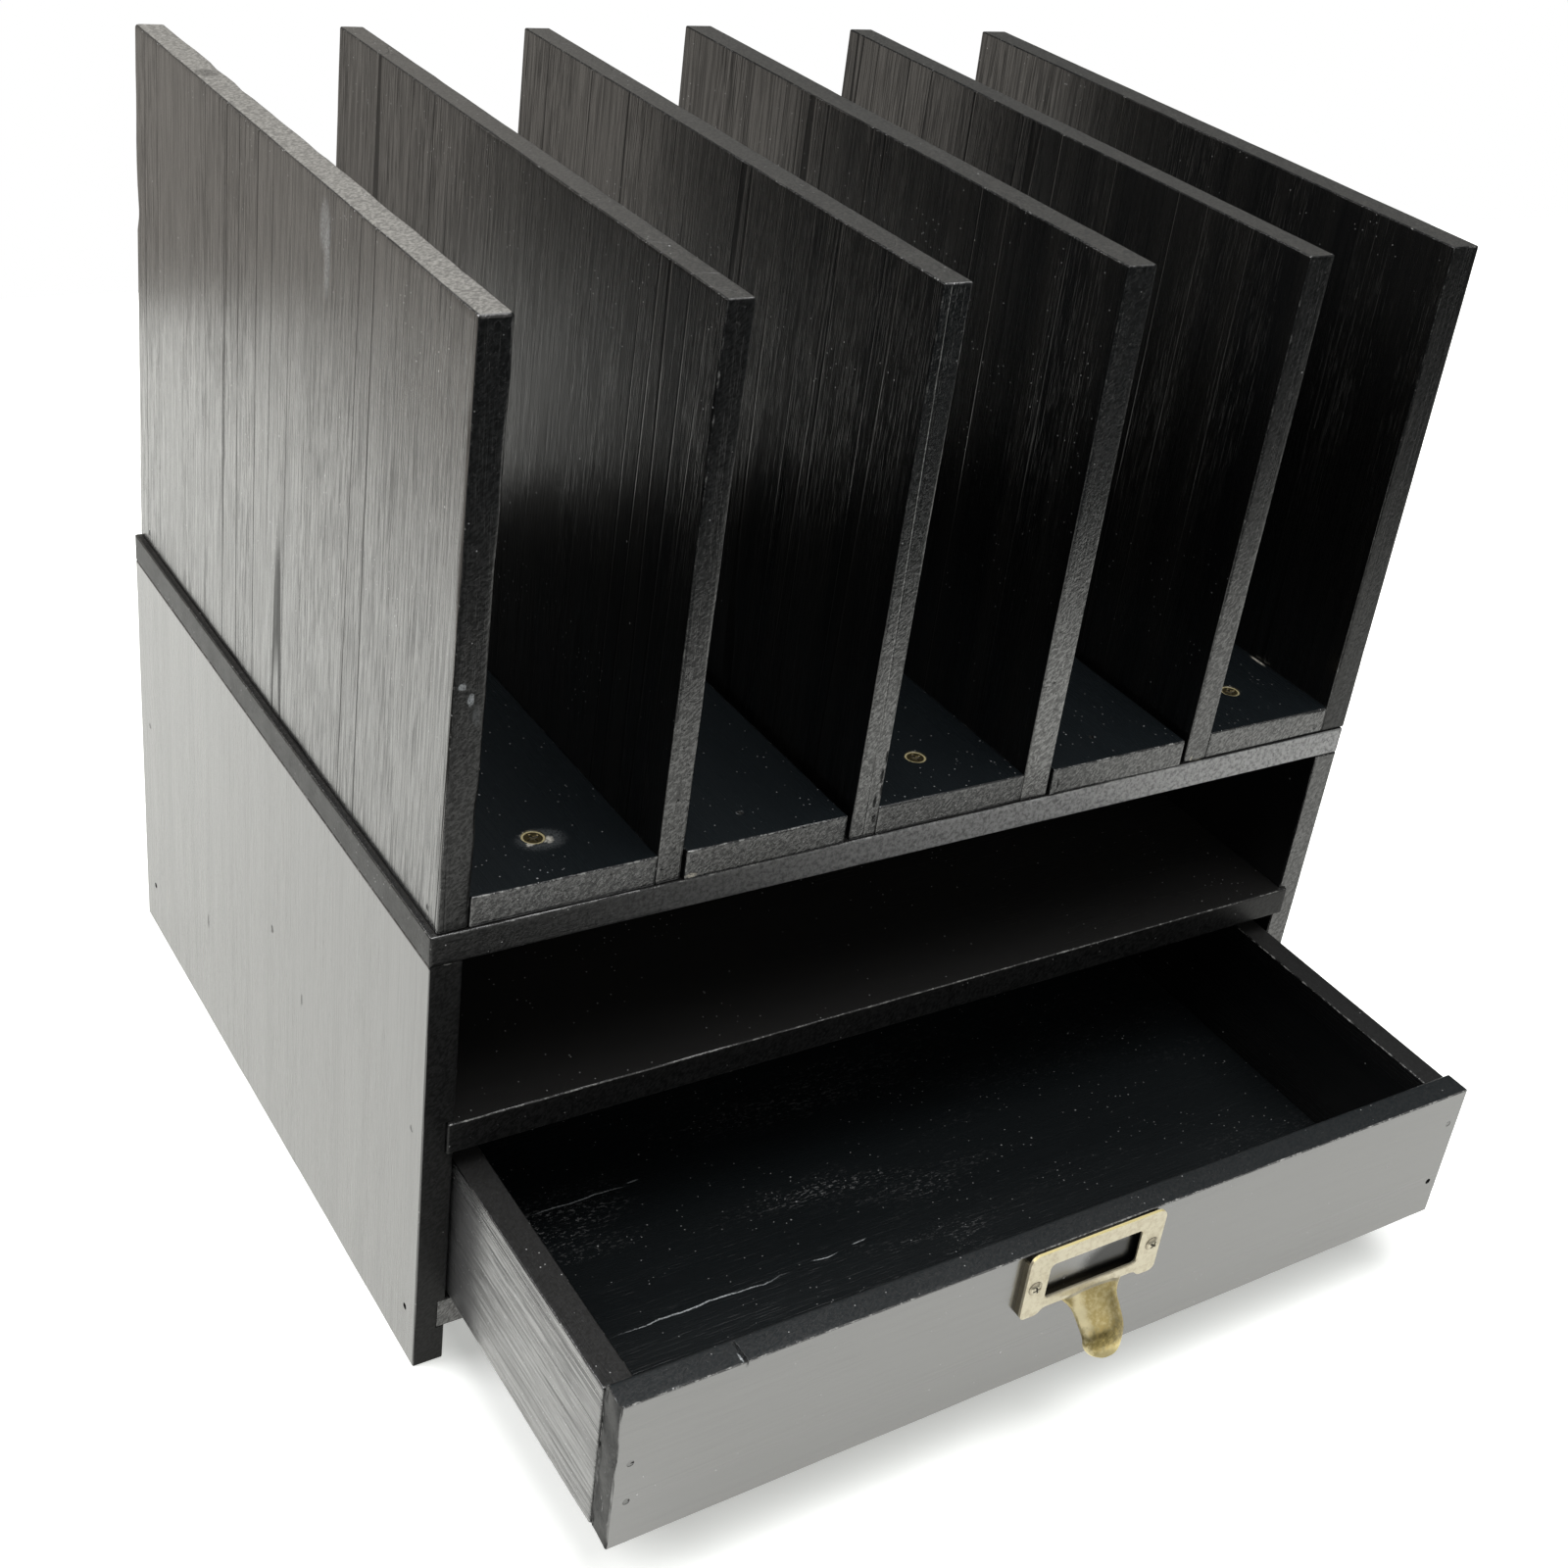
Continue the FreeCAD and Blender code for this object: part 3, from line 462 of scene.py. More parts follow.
def edge_coat(t, coat, look):
    """How strongly narrow faces reflect: sawn texture, and lighter or darker up a wall's edge."""
    side, rough = coat["side"], coat["rough"]
    at_foot, at_top = (look.edge_shine * share for share in look.edge_fade)
    faded = t.span(coat["at"][Z], 0.24, 0.40, at_foot, at_top)
    top_shine = look.edge_shine if look.top_shine is None else look.top_shine
    shine = t.span(side["up"], 0, 1, faded, top_shine)
    shine = t.product(t.span(rough["scratches"], 0, 1, 0.68, 1.3), shine)
    shine = t.product(shine, t.span(rough["waves"], 0.3, 0.7, 0.85, 1.12))
    shine = t.dimmed(shine, rough["pits"], 0.8)
    shine = t.dimmed(shine, side["left"], 0.9 * look.torn)
    if look.pale_right:
        shine = t.product(shine, t.span(coat["at"][X], -0.21, 0.05, 1.0 - 0.6 * look.pale_right, 1.0))
    return shine


def broad_coat(t, coat, look):
    """How strongly broad faces reflect: less in the grain's streaks and splits, more on its ridges."""
    lines = coat["lines"]
    low, high = 1.0 - look.shine_slope, 1.0 + look.shine_slope
    dark = t.math("MAXIMUM", t.product(lines["streaks"], 0.75 * look.streaks),
                  t.product(lines["split"], 0.95 * look.splits))
    shine = t.product(t.span(lines["fine"], 0.4, 0.58, 1.0 - 0.6 * look.streaks, 1.0), look.shine)
    shine = t.product(t.dimmed(shine, dark), t.span(coat["at"][Z], 0.28, 0.41, low, high))
    return t.math("ADD", shine, t.product(lines["ridge"], 0.1 * look.splits), clamp=True)


def paint_height(t, coat, look):
    """The bump's height: grain, splits, the paint's own fine swell, sawn edges and grit."""
    lines, rough = coat["lines"], coat["rough"]
    grain = t.math("ADD", lines["fine"], t.product(lines["streaks"], -0.6))
    height = t.math("SUBTRACT", t.product(grain, look.fibre), t.product(lines["split"], 1.6 * look.splits))
    height = t.math("ADD", height, t.product(t.noise(coat["free"], 1100), 0.25))
    carved = t.math("ADD", t.product(rough["waves"], 0.9), t.product(rough["scratches"], 0.3))
    carved = t.math("SUBTRACT", carved, t.product(rough["pits"], 1.5))
    height = t.math("ADD", height, t.product(carved, coat["side"]["edge"]))
    return t.math("ADD", height, t.product(coat["grains"], 1.2))


def paint_gloss(t, coat):
    """The roughness under the coat: slow bands, and duller on edges, where paint is rubbed off and on the
    painted highlight lines.
    """
    gloss = t.span(coat["lines"]["bands"], 0.3, 0.7, 0.27, 0.35)
    gloss = t.math("ADD", gloss, t.product(coat["side"]["edge"], 0.08))
    return t.math("ADD", gloss, t.product(coat["worn"], 0.3), clamp=True)


def painted_wood(node, grain, thin, seed, **differences):
    """Black paint over wood whose grain runs along one axis and whose broad faces look along another."""
    look = SimpleNamespace(**{**PAINT, **differences})
    material, t = new_material(f"{node}_paint")
    place = t.place()
    free = t.vector("ADD", place, SEED_STEP * seed)
    at = t.parts(place)
    coat = {
        "at": at,
        "free": free,
        "side": sides(t, thin),
        "lines": grain_lines(t, free, AXES[grain]),
        "rough": sawn_edge(t, free),
        "grains": grit_grains(t, free, at, AXES[grain], look.grit),
        "worn": rubbed(t, free, look.arris_line),
    }
    colour = paint_colour(t, coat, look)
    on_broad, on_edge = broad_coat(t, coat, look), edge_coat(t, coat, look)
    shine = t.span(coat["side"]["edge"], 0, 1, on_broad, on_edge, smooth=False)
    height = paint_height(t, coat, look)
    colour, height, shine = with_marks(t, node, place, colour, height, shine)
    normal = t.bump(height, PAINT_DEPTH)
    t.surface({
        "Base Color": colour, "Roughness": paint_gloss(t, coat), "IOR": PAINT_IOR, "Normal": normal,
        "Coat Weight": shine, "Coat Roughness": COAT_ROUGHNESS, "Coat IOR": look.coat_ior,
        "Coat Normal": normal,
    })
    return material


# ---------------------------------------------------------------- meshes

def cad_mesh(node):
    """A CAD solid's mesh with its doubled vertices joined and its flat edges gone."""
    data = frame["nodes"][node].data
    bm = bmesh.new()
    verts = [bm.verts.new(v.co) for v in data.vertices]
    for polygon in data.polygons:
        bm.faces.new([verts[i] for i in polygon.vertices])
    bmesh.ops.remove_doubles(bm, verts=bm.verts, dist=SAME_PLACE)
    bmesh.ops.dissolve_limit(bm, angle_limit=FLAT_ANGLE, verts=bm.verts, edges=bm.edges)
    return bm


def finished_piece(bm, name, node, materials, crease):
    """Turns a mesh into a piece in a node's place, smooth apart from edges sharper than the crease."""
    for face in bm.faces:
        face.smooth = True
    for e in bm.edges:
        e.smooth = len(e.link_faces) == 2 and e.calc_face_angle() < math.radians(crease)
    mesh = bpy.data.meshes.new(name)
    bm.to_mesh(mesh)
    bm.free()
    piece = link(name, mesh)
    for material in materials:
        mesh.materials.append(material)
    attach(piece, frame["nodes"][node]["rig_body"])
    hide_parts(node)
    return piece


# ---------------------------------------------------------------- boards

BOARD_CREASE = 32
ARRIS_FLOOR = 0.35
NICK_START = 0.42


def board_lean(bm, low, high):
    """How far a board's side moves along X for each metre of height."""
    near = 0.5 * MM
    top = [v.co.x for v in bm.verts if v.co.z > high.z - near]
    bottom = [v.co.x for v in bm.verts if v.co.z < low.z + near]
    return (min(top) + max(top) - min(bottom) - max(bottom)) / 2 / (high.z - low.z)


def tilt(bm, lean, foot):
    """Moves a board's vertices along X in step with their height above its foot."""
    for v in bm.verts:
        v.co.x += lean * (v.co.z - foot)


def corners(places):
    """The lowest and highest corners of the box round some places."""
    return [Vector([side(p[a] for p in places) for a in (X, Y, Z)]) for side in (min, max)]


def cuts(low, high, step):
    """Where a board is cut across one axis: close rows beside its arrises, and even steps between them."""
    rows = [low + row for row in ARRIS_ROWS] + [high - row for row in ARRIS_ROWS]
    count = max(1, round((high - low) / step))
    steps = [low + (high - low) * k / count for k in range(1, count)]
    inside = [s for s in steps if low + 2 * ARRIS_ROWS[-1] < s < high - 2 * ARRIS_ROWS[-1]]
    return sorted(row for row in rows + inside if low < row < high)


def slice_across(bm, axis, places):
    """Cuts a mesh's faces along planes across one axis."""
    normal = AXES[axis]
    for at in places:
        geometry = bm.verts[:] + bm.edges[:] + bm.faces[:]
        bmesh.ops.bisect_plane(bm, geom=geometry, plane_co=normal * at, plane_no=normal, dist=SAME_PLACE)


def arris_radius(point, radius, nicks, seed):
    """The rounding at a place on an arris: uneven, with a deeper nick here and there."""
    slow = noise.noise(point * 45 + Vector((seed, 0, 0)))
    quick = noise.noise(point * 160 + Vector((0, seed, 0)))
    nick = max(0.0, noise.noise(point * 90 + Vector((0, 0, seed))) - NICK_START) * 6 * nicks
    return radius * max(ARRIS_FLOOR, 1 + 0.5 * slow + 0.35 * quick + nick)


def nearness(distance):
    """1 on an arris, falling to 0 where its wear ends."""
    return max(0.0, 1 - distance / ARRIS_REACH)


def round_arrises(bm, low, high, radius, nicks, seed, highlight_arrises):
    """Rounds the outer arrises. For the paint it keeps how near each point is to one, and to one that carries
    a painted highlight line.
    """
    arris = bm.verts.layers.float.new("arris")
    bright = bm.verts.layers.float.new("bright")
    for v in bm.verts:
        below = [v.co[a] - low[a] for a in (X, Y, Z)]
        above = [high[a] - v.co[a] for a in (X, Y, Z)]
        depth = [min(pair) for pair in zip(below, above)]
        nearest, second, _ = sorted(depth)
        v[arris] = nearness(math.hypot(nearest, second))
        for faces in highlight_arrises:
            reach = [above[a] if end > 0 else below[a] for a, end in faces]
            v[bright] = max(v[bright], nearness(math.hypot(*reach)))
        rounding = arris_radius(v.co, radius, nicks, seed)
        pull = [max(0.0, rounding - d) for d in depth]
        length = math.hypot(*pull)
        if length <= rounding or sum(p > 0 for p in pull) < 2:
            continue
        for a in (X, Y, Z):
            inward = 1 if below[a] < above[a] else -1
            v.co[a] += inward * pull[a] * (1 - rounding / length)


def tear_left_end(bm, low, high, seed):
    """Breaks the wood away, deepest near the joint behind, at a board's left end."""
    reach = ARRIS_ROWS[1]
    for v in bm.verts:
        depth = v.co.x - low.x
        if depth > reach:
            continue
        back = (v.co.y - low.y) / (high.y - low.y)
        ragged = noise.noise(Vector((seed, v.co.y * 260, v.co.z * 75)))
        splinter = noise.noise(Vector((v.co.y * 900, seed, v.co.z * 160)))
        bite = max(0.0, 0.5 * back + 0.9 * ragged + 0.5 * splinter) * (1 - depth / reach)
        v.co.x += TEAR_DEPTH * bite


def board_piece(node, material, seed, radius=ARRIS_RADIUS, nicks=0.3, step=ARRIS_STEP, bright=(),
                torn=False):
    """A board with the CAD node's joints and size, its outer arrises rounded by hand."""
    bm = cad_mesh(node)
    low, high = corners([v.co for v in bm.verts])
    lean = board_lean(bm, low, high)
    foot = low.z
    tilt(bm, -lean, foot)
    low, high = corners([v.co for v in bm.verts])
    for axis in (X, Y, Z):
        slice_across(bm, axis, cuts(low[axis], high[axis], step))
    if torn:
        tear_left_end(bm, low, high, seed)
    round_arrises(bm, low, high, radius, nicks, seed, bright)
    tilt(bm, lean, foot)
    finished_piece(bm, f"{node}_board", node, [material], BOARD_CREASE)


# Arrises that carry a painted highlight, a bright line in the paint's colour. Each is where two of a board's
# faces meet, and has an axis and an end of it for either face.
FRONT_TOP = ((Y, -1), (Z, 1))
FRONT_LEFT = ((X, -1), (Y, -1))
LEFT_TOP = ((X, -1), (Z, 1))
RIGHT_TOP = ((X, 1), (Z, 1))

WALL = dict(grain=Z, fibre=1.0, streaks=1.0, splits=1.0, shine=0.67, shine_slope=0.26, speckled=0.14,
            edge_shine=0.38, edge_fade=(1.35, 0.68), dust=0.08, arris_line=0.22, tint=(1.03, 1.0, 0.93))
RACK_FLOOR = dict(grain=Y, fibre=0.5, streaks=0.3, shine=0.88, speckled=0.4, edge_shine=0.58,
                  dust=0.012, arris_line=1.0, tint=(0.75, 1.05, 1.25))
# Each board's paint. The order gives each board its seed.
BOARDS = {
    "left_side": dict(grain=Z, fibre=0.4, streaks=0.15, edge_shine=0.0, coat_ior=2.65),
    "right_side": dict(grain=Z, fibre=0.4, streaks=0.15, edge_shine=0.4, coat_ior=2.65),
    "case_top": dict(grain=X, fibre=0.8, edge_shine=0.27, pale_right=1.0),
    "shelf": dict(grain=X, fibre=0.3, edge_shine=0.03),
    "bottom_board": dict(grain=X, fibre=0.3),
    "back_panel": dict(grain=X, fibre=0.3, streaks=0.1),
    "divider_1": dict(WALL, fibre=0.8, shine=1.0, shine_slope=0.0, streaks=0.62, speckled=0.5,
                      dust=0.31, edge_shine=0.16, edge_fade=(0.95, 1.9), top_shine=0.27,
                      arris_line=0.7, coat_ior=2.65),
    "divider_2": dict(WALL, speckled=0.3, top_shine=0.68),
    "divider_3": dict(WALL, edge_shine=0.72, edge_fade=(0.92, 0.82), top_shine=0.58),
    "divider_4": dict(WALL, edge_shine=0.6, top_shine=0.43),
    "divider_5": dict(WALL, top_shine=0.4),
    "divider_6": dict(WALL, edge_shine=0.14, edge_fade=(0.9, 0.9), top_shine=0.44),
    **{f"bin_floor_{k}": dict(RACK_FLOOR, speckled=0.4 + 0.1 * k) for k in (1, 3, 5)},
    **{f"filler_floor_{k}": RACK_FLOOR for k in (2, 4)},
    "drawer_front": dict(grain=X, fibre=0.12, streaks=0.04, speckled=0.25, torn=0.9, arris_line=1.0,
                         edge_shine=0.27, coat_ior=2.85, tint=(0.85, 1.0, 1.08)),
    "drawer_left_side": dict(grain=Y, fibre=1.0, streaks=0.95, splits=1.0, wash=0.5, speckled=0.4,
                             edge_shine=0.24),
    "drawer_right_side": dict(grain=Y, fibre=0.8, shine=0.6, edge_shine=0.28),
    "drawer_back": dict(grain=X, fibre=0.5),
    "drawer_floor": dict(grain=X, fibre=0.6, streaks=0.5, shine=0.54, grit=1.2, speckled=0.5,
                         dust=0.01, tint=(0.8, 1.0, 1.1)),
}
# How each board's arrises are shaped, and which of them carry a painted highlight line. divider_1 has the
# roughest.
FRONT_TOP_BOARDS = ("case_top", "shelf", "filler_floor_2", "filler_floor_4", "bin_floor_1")
SHAPES = {
    "divider_1": dict(radius=1.3 * MM, bright=(RIGHT_TOP,), nicks=1.0),
    "divider_2": dict(radius=0.9 * MM, bright=(FRONT_LEFT,)),
    **{f"divider_{k}": dict(bright=(FRONT_LEFT,)) for k in (3, 4, 5, 6)},
    **{node: dict(bright=(FRONT_TOP,)) for node in FRONT_TOP_BOARDS},
    "drawer_front": dict(step=3.5 * MM, bright=(FRONT_TOP,), torn=True),
    "drawer_right_side": dict(bright=(LEFT_TOP,)),
}


def thin_axis(node):
    low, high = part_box(node)
    size = high - low
    return min((X, Y, Z), key=lambda a: size[a])


def dress_boards():
    for seed, (node, look) in enumerate(BOARDS.items(), 1):
        material = painted_wood(node, thin=thin_axis(node), seed=seed, **look)
        board_piece(node, material, seed, **SHAPES.get(node, {}))


# ---------------------------------------------------------------- metal

GOLD = (0.60, 0.47, 0.19, 1)
GOLD_WORN = (0.78, 0.67, 0.36, 1)
GOLD_HIGHLIGHT = (0.96, 0.86, 0.55, 1)
LIP_HIGHLIGHT_GOLD = (0.93, 0.80, 0.42, 1)
PALE_BRASS = (0.66, 0.61, 0.47, 1)
PALE_BRASS_WORN = (0.56, 0.50, 0.37, 1)
OLIVE = (0.17, 0.13, 0.035, 1)
BACK_PATINA_AND_SHADE = (0.07, 0.055, 0.028, 1)
TOP_EDGE_HIGHLIGHT = (0.86, 0.74, 0.36, 1)
RIM_BRASS = (0.88, 0.76, 0.38, 1)
RIM_BROWN = (0.55, 0.44, 0.2, 1)
RACK_SCREW = (0.24, 0.19, 0.09, 1)
RACK_SCREW_RIM = (0.92, 0.80, 0.45, 1)
DARK_RECESS_AND_EDGE_SHADE = grey(0.012, (1.2, 1.0, 0.7))
METAL_DEPTH = 0.02 * MM

# The pull's tongue: its top, the bend above its lip, its lip, its middle, how wide and how far out it begins,
# and the line where its painted highlight runs.
TONGUE_TOP = 71.5 * MM
TONGUE_BEND = 58.5 * MM
TONGUE_LIP = 54.2 * MM
TONGUE_MIDDLE = -4.5 * MM
TONGUE_SIDES = (12.0 * MM, 15.0 * MM)
TONGUE_OUT = (-217.4 * MM, -216.9 * MM)
TONGUE_HIGHLIGHT_X = -10.5 * MM
# The pull's plate: where its back is, behind which it is painted dark with patina and shade, and its top
# edge, whose upward faces carry a painted highlight.
PLATE_BACK = (-215.6 * MM, -215.2 * MM)
PLATE_TOP = (94 * MM, 95 * MM)
PULL_CREASE = 35
PULL_BEVEL = 0.22 * MM
PULL_BEVEL_ANGLE = math.radians(40)


def tongue_gold(t, at, mottle, drift):
    """The tongue's gold: a painted highlight along a line and another at its lip, with olive patina in the
    bend above.
    """
    gold = t.blend(t.span(mottle, 0.38, 0.66), GOLD, GOLD_WORN)
    # Painted highlight along a line down the tongue.
    from_highlight = t.gap(t.math("ADD", at[X], drift), TONGUE_HIGHLIGHT_X)
    gold = t.blend(t.span(from_highlight, 0.4 * MM, 3.2 * MM, 0.85, 0.0), gold, GOLD_HIGHLIGHT)
    height = t.math("ADD", at[Z], drift)
    # Painted highlight at the lip.
    gold = t.blend(t.span(height, TONGUE_LIP - 2.5 * MM, TONGUE_LIP, 0.75, 0.0), gold, LIP_HIGHLIGHT_GOLD)
    above_lip = t.span(height, TONGUE_LIP - 1.5 * MM, TONGUE_LIP + 1.5 * MM)
    below_bend = t.span(height, TONGUE_BEND, TONGUE_BEND + 5 * MM, 1.0, 0.0)
    patina = t.product(above_lip, below_bend, t.span(mottle, 0.3, 0.6, 0.45, 0.95))
    return t.blend(patina, gold, OLIVE)


def on_tongue(t, at):
    """1 on the pull's tongue, and 0 on its plate."""
    low = t.span(at[Z], TONGUE_TOP - 2 * MM, TONGUE_TOP, 1.0, 0.0)
    far_out = t.span(at[Y], *TONGUE_OUT, 1.0, 0.0)
    between = t.span(t.gap(at[X], TONGUE_MIDDLE), *TONGUE_SIDES, 1.0, 0.0)
    return t.product(t.math("MAXIMUM", low, far_out), between)


def pull_brass():
    """The pull's metal: a pale satin plate, dark behind it with patina and painted shade, a painted highlight
    on its top edge, and a golden tongue with painted highlights and patina in its bend.
    """
    material, t = new_material("pull_brass")
    place = t.place()
    at = t.parts(place)
    mottle = t.noise(place, 520, detail=4, roughness=0.7)
    cloud = t.noise(place, 190, detail=4, roughness=0.7)
    drift = t.product(t.math("SUBTRACT", cloud, 0.5), 7 * MM)
    plate = t.blend(t.span(mottle, 0.4, 0.7), PALE_BRASS, PALE_BRASS_WORN)
    tone = t.blend(on_tongue(t, at), plate, tongue_gold(t, at, mottle, drift))
    # A painted highlight on the plate's upward top edge: a brighter colour, and less metallic.
    top_highlight_mask = t.product(t.span(t.facing()[Z], 0.5, 0.8), t.span(at[Z], *PLATE_TOP))
    # Dark patina and painted shade on everything behind the plate's front.
    behind = t.span(at[Y], *PLATE_BACK, 0.0, 0.85)
    tone = t.blend(behind, tone, BACK_PATINA_AND_SHADE)
    tone = t.blend(t.dimmed(top_highlight_mask, behind), tone, TOP_EDGE_HIGHLIGHT)
    t.surface({
        "Base Color": tone, "Metallic": t.span(top_highlight_mask, 0, 1, 0.8, 0.3),
        "Roughness": t.span(mottle, 0.3, 0.7, 0.30, 0.42),
        "Normal": t.bump(t.noise(place, 2200), METAL_DEPTH),
    })
    return material


def rim_brass():
    """The pull's rubbed edges: bright brass with a little brown left in it."""
    material, t = new_material("pull_rim")
    mottle = t.noise(t.place(), 420, detail=4, roughness=0.7)
    t.surface({
        "Base Color": t.blend(t.span(mottle, 0.45, 0.7), RIM_BRASS, RIM_BROWN),
        "Metallic": 0.4, "Roughness": t.span(mottle, 0.3, 0.7, 0.22, 0.34),
    })
    return material


def pull_piece():
    """The label pull with its edges broken and its tongue smooth."""
    piece = finished_piece(cad_mesh("label_pull"), "label_pull_worn", "label_pull",
                           [pull_brass(), rim_brass()], PULL_CREASE)
    bevel = piece.modifiers.new("broken_edges", "BEVEL")
    bevel.width = PULL_BEVEL
    bevel.segments = 2
    bevel.limit_method = "ANGLE"
    bevel.angle_limit = PULL_BEVEL_ANGLE
    bevel.material = 1
    bevel.use_clamp_overlap = True


def islands(node):
    """The lowest and highest corners of each separate solid in a node."""
    bm = bmesh.new()
    bm.from_mesh(frame["nodes"][node].data)
    bmesh.ops.remove_doubles(bm, verts=bm.verts, dist=SAME_PLACE)
    left = set(bm.verts)
    boxes = []
    while left:
        waiting = [left.pop()]
        places = []
        while waiting:
            v = waiting.pop()
            places.append(v.co.copy())
            for e in v.link_edges:
                other = e.other_vert(v)
                if other in left:
                    left.remove(other)
                    waiting.append(other)
        boxes.append(corners(places))
    bm.free()
    return sorted(boxes, key=lambda box: tuple(box[0]))


# A screw head's mesh, and how its recess and skirt are shaped.
HEAD_RINGS = 26
HEAD_SPOKES = 64
HEAD_SKIRT = 0.6 * MM
HEAD_CREASE = 50
HEAD_FIRST_TURN = 0.5
HEAD_NEXT_TURN = 0.9


def cross_cut(x, y, arm, width):
    """1 inside a cross-shaped driver recess with rounded corners, 0 outside."""
    along, across = max(abs(x), abs(y)), min(abs(x), abs(y))
    if along > arm:
        return 0.0
    taper = width * (1 + 0.35 * (1 - along / arm))
    return max(0.0, min(1.0, (taper - across) / (0.25 * width)))


def head_lift(r, radius, dome, sunk, arm, depth):
    """How far a screw head's surface stands out, r from its middle: a dome, less the recess."""
    shallower = 1 - 0.55 * r / arm if r < arm else 0.45
    return dome * (1 - (r / radius) ** 2.6) - depth * sunk * shallower


def screw_head(bm, centre, out, turn, radius, dome, arm, width, depth):
    """A domed screw head with a cross recess, which also keeps how near each point is to its rim."""
    rim = bm.verts.layers.float.get("rim") or bm.verts.layers.float.new("rim")
    hollow = bm.verts.layers.float.get("hollow") or bm.verts.layers.float.new("hollow")
    side = out.orthogonal().normalized()
    up = out.cross(side)
    rows = []
    for k in range(HEAD_RINGS + 1):
        r = radius * k / HEAD_RINGS
        row = []
        for s in range(HEAD_SPOKES if k else 1):
            angle = 2 * math.pi * s / HEAD_SPOKES
            x, y = r * math.cos(angle), r * math.sin(angle)
            u = x * math.cos(turn) - y * math.sin(turn)
            w = x * math.sin(turn) + y * math.cos(turn)
            sunk = cross_cut(u, w, arm, width)
            lift = head_lift(r, radius, dome, sunk, arm, depth)
            v = bm.verts.new(centre + side * x + up * y + out * lift)
            v[rim] = r / radius
            v[hollow] = sunk
            row.append(v)
        rows.append(row)
    skirt = [bm.verts.new(v.co - out * HEAD_SKIRT) for v in rows[-1]]
    for v in skirt:
        v[rim] = 1.0
    for s in range(HEAD_SPOKES):
        after = (s + 1) % HEAD_SPOKES
        bm.faces.new((rows[0][0], rows[1][s], rows[1][after]))
        for inner, outer in zip(rows[1:], rows[2:] + [skirt]):
            bm.faces.new((inner[s], outer[s], outer[after], inner[after]))
    bm.faces.new(list(reversed(skirt)))


def screw_brass(name, colour, dark_share, rim_colour):
    """Screw metal, darker in its cross recess, with painted shade round the edge where the head meets the
    surface.
    """
    material, t = new_material(name)
    rim, hollow = t.attribute("rim"), t.attribute("hollow")
    mottle = t.noise(t.place(), 1500, detail=3, roughness=0.7)
    on_rim = t.span(rim, 0.74, 0.82)
    tone = t.blend(t.span(mottle, 0.4, 0.65), colour, grey(0.7, colour[:3]))
    tone = t.blend(on_rim, tone, rim_colour)
    # Darker in the cross recess, and painted shade round the head's edge.
    dark = t.math("MAXIMUM", t.span(hollow, 0.1, 0.6), t.span(rim, 0.93, 0.98, 0.0, 0.9))
    metal = t.math("SUBTRACT", t.span(rim, 0.74, 0.82, 0.9, 0.5), t.product(dark, 0.45 * dark_share))
    t.surface({
        "Base Color": t.blend(t.product(dark, dark_share), tone, DARK_RECESS_AND_EDGE_SHADE), "Metallic": metal,
        "Roughness": t.span(mottle, 0.3, 0.7, 0.24, 0.4), "Normal": t.bump(mottle, METAL_DEPTH),
    })
    return material


def screw_piece(node, material, out, recess, dome, arm, width, depth):
    """All heads of one kind of screw, where the CAD node has its screws."""
    bm = bmesh.new()
    axis = max((X, Y, Z), key=lambda a: abs(out[a]))
    for count, (low, high) in enumerate(islands(node)):
        centre = (low + high) / 2
        centre[axis] = (high if out[axis] > 0 else low)[axis]
        centre -= out * recess
        radius = (high - low)[(axis + 1) % 3] / 2
        turn = HEAD_FIRST_TURN + HEAD_NEXT_TURN * count
        screw_head(bm, centre, out, turn, radius, dome, arm, width, depth)
    finished_piece(bm, f"{node}_heads", node, [material], HEAD_CREASE)


# Nails and brads, and the axis that their painted heads face. The order gives each its seed.
NAIL_FACES = {
    "shelf_nails": X, "bottom_board_nails": X, "drawer_back_nails": X, "bin_nails": Z,
    "case_top_nails": Z, "filler_brads": Z, "back_panel_brads": Y, "drawer_front_nails": Y,
}
FIRST_NAIL_SEED = 40


def repaint(node, material):
    data = frame["nodes"][node].data
    data.materials.clear()
    data.materials.append(material)


def dress_metal():
    pull_piece()
    plate_screw = screw_brass("plate_screw", PALE_BRASS, 0.9, PALE_BRASS_WORN)
    rack_screw = screw_brass("rack_screw", RACK_SCREW, 1.0, RACK_SCREW_RIM)
    screw_piece("pull_screws", plate_screw, out=-AXES[Y], recess=1.5 * MM, dome=1.3 * MM,
                arm=1.7 * MM, width=0.36 * MM, depth=0.9 * MM)
    screw_piece("rack_screws", rack_screw, out=AXES[Z], recess=0.1 * MM, dome=0.05 * MM,
                arm=2.4 * MM, width=0.5 * MM, depth=1.1 * MM)
    for seed, (node, faces) in enumerate(NAIL_FACES.items(), FIRST_NAIL_SEED):
        along = Z if faces == X else X
        repaint(node, painted_wood(node, grain=along, thin=faces, seed=seed, speckled=0.0))


# ---------------------------------------------------------------- studio

# The white table, with the object near its front left corner. TABLE_SEEN and the glows are for camera rays
# and reflections, which see it lifted to white; to the camera the glow is weaker round the object, a painted
# shadow.
TABLE_LOW = (-0.54, -0.52)
TABLE_HIGH = (2.0, 1.05)
TABLE_WHITE = (0.88, 0.885, 0.88, 1)
TABLE_SEEN = (0.44, 0.445, 0.435, 1)
CAMERA_GLOW = (0.985, 1.0, 0.97, 1)
MIRROR_GLOW = (1.0, 0.995, 0.935, 1)
# How much of the glow is left under the object, to the camera and in reflections. To the camera this is a
# painted shadow.
CAMERA_LIFT = 0.37
MIRROR_LIFT = 0.75
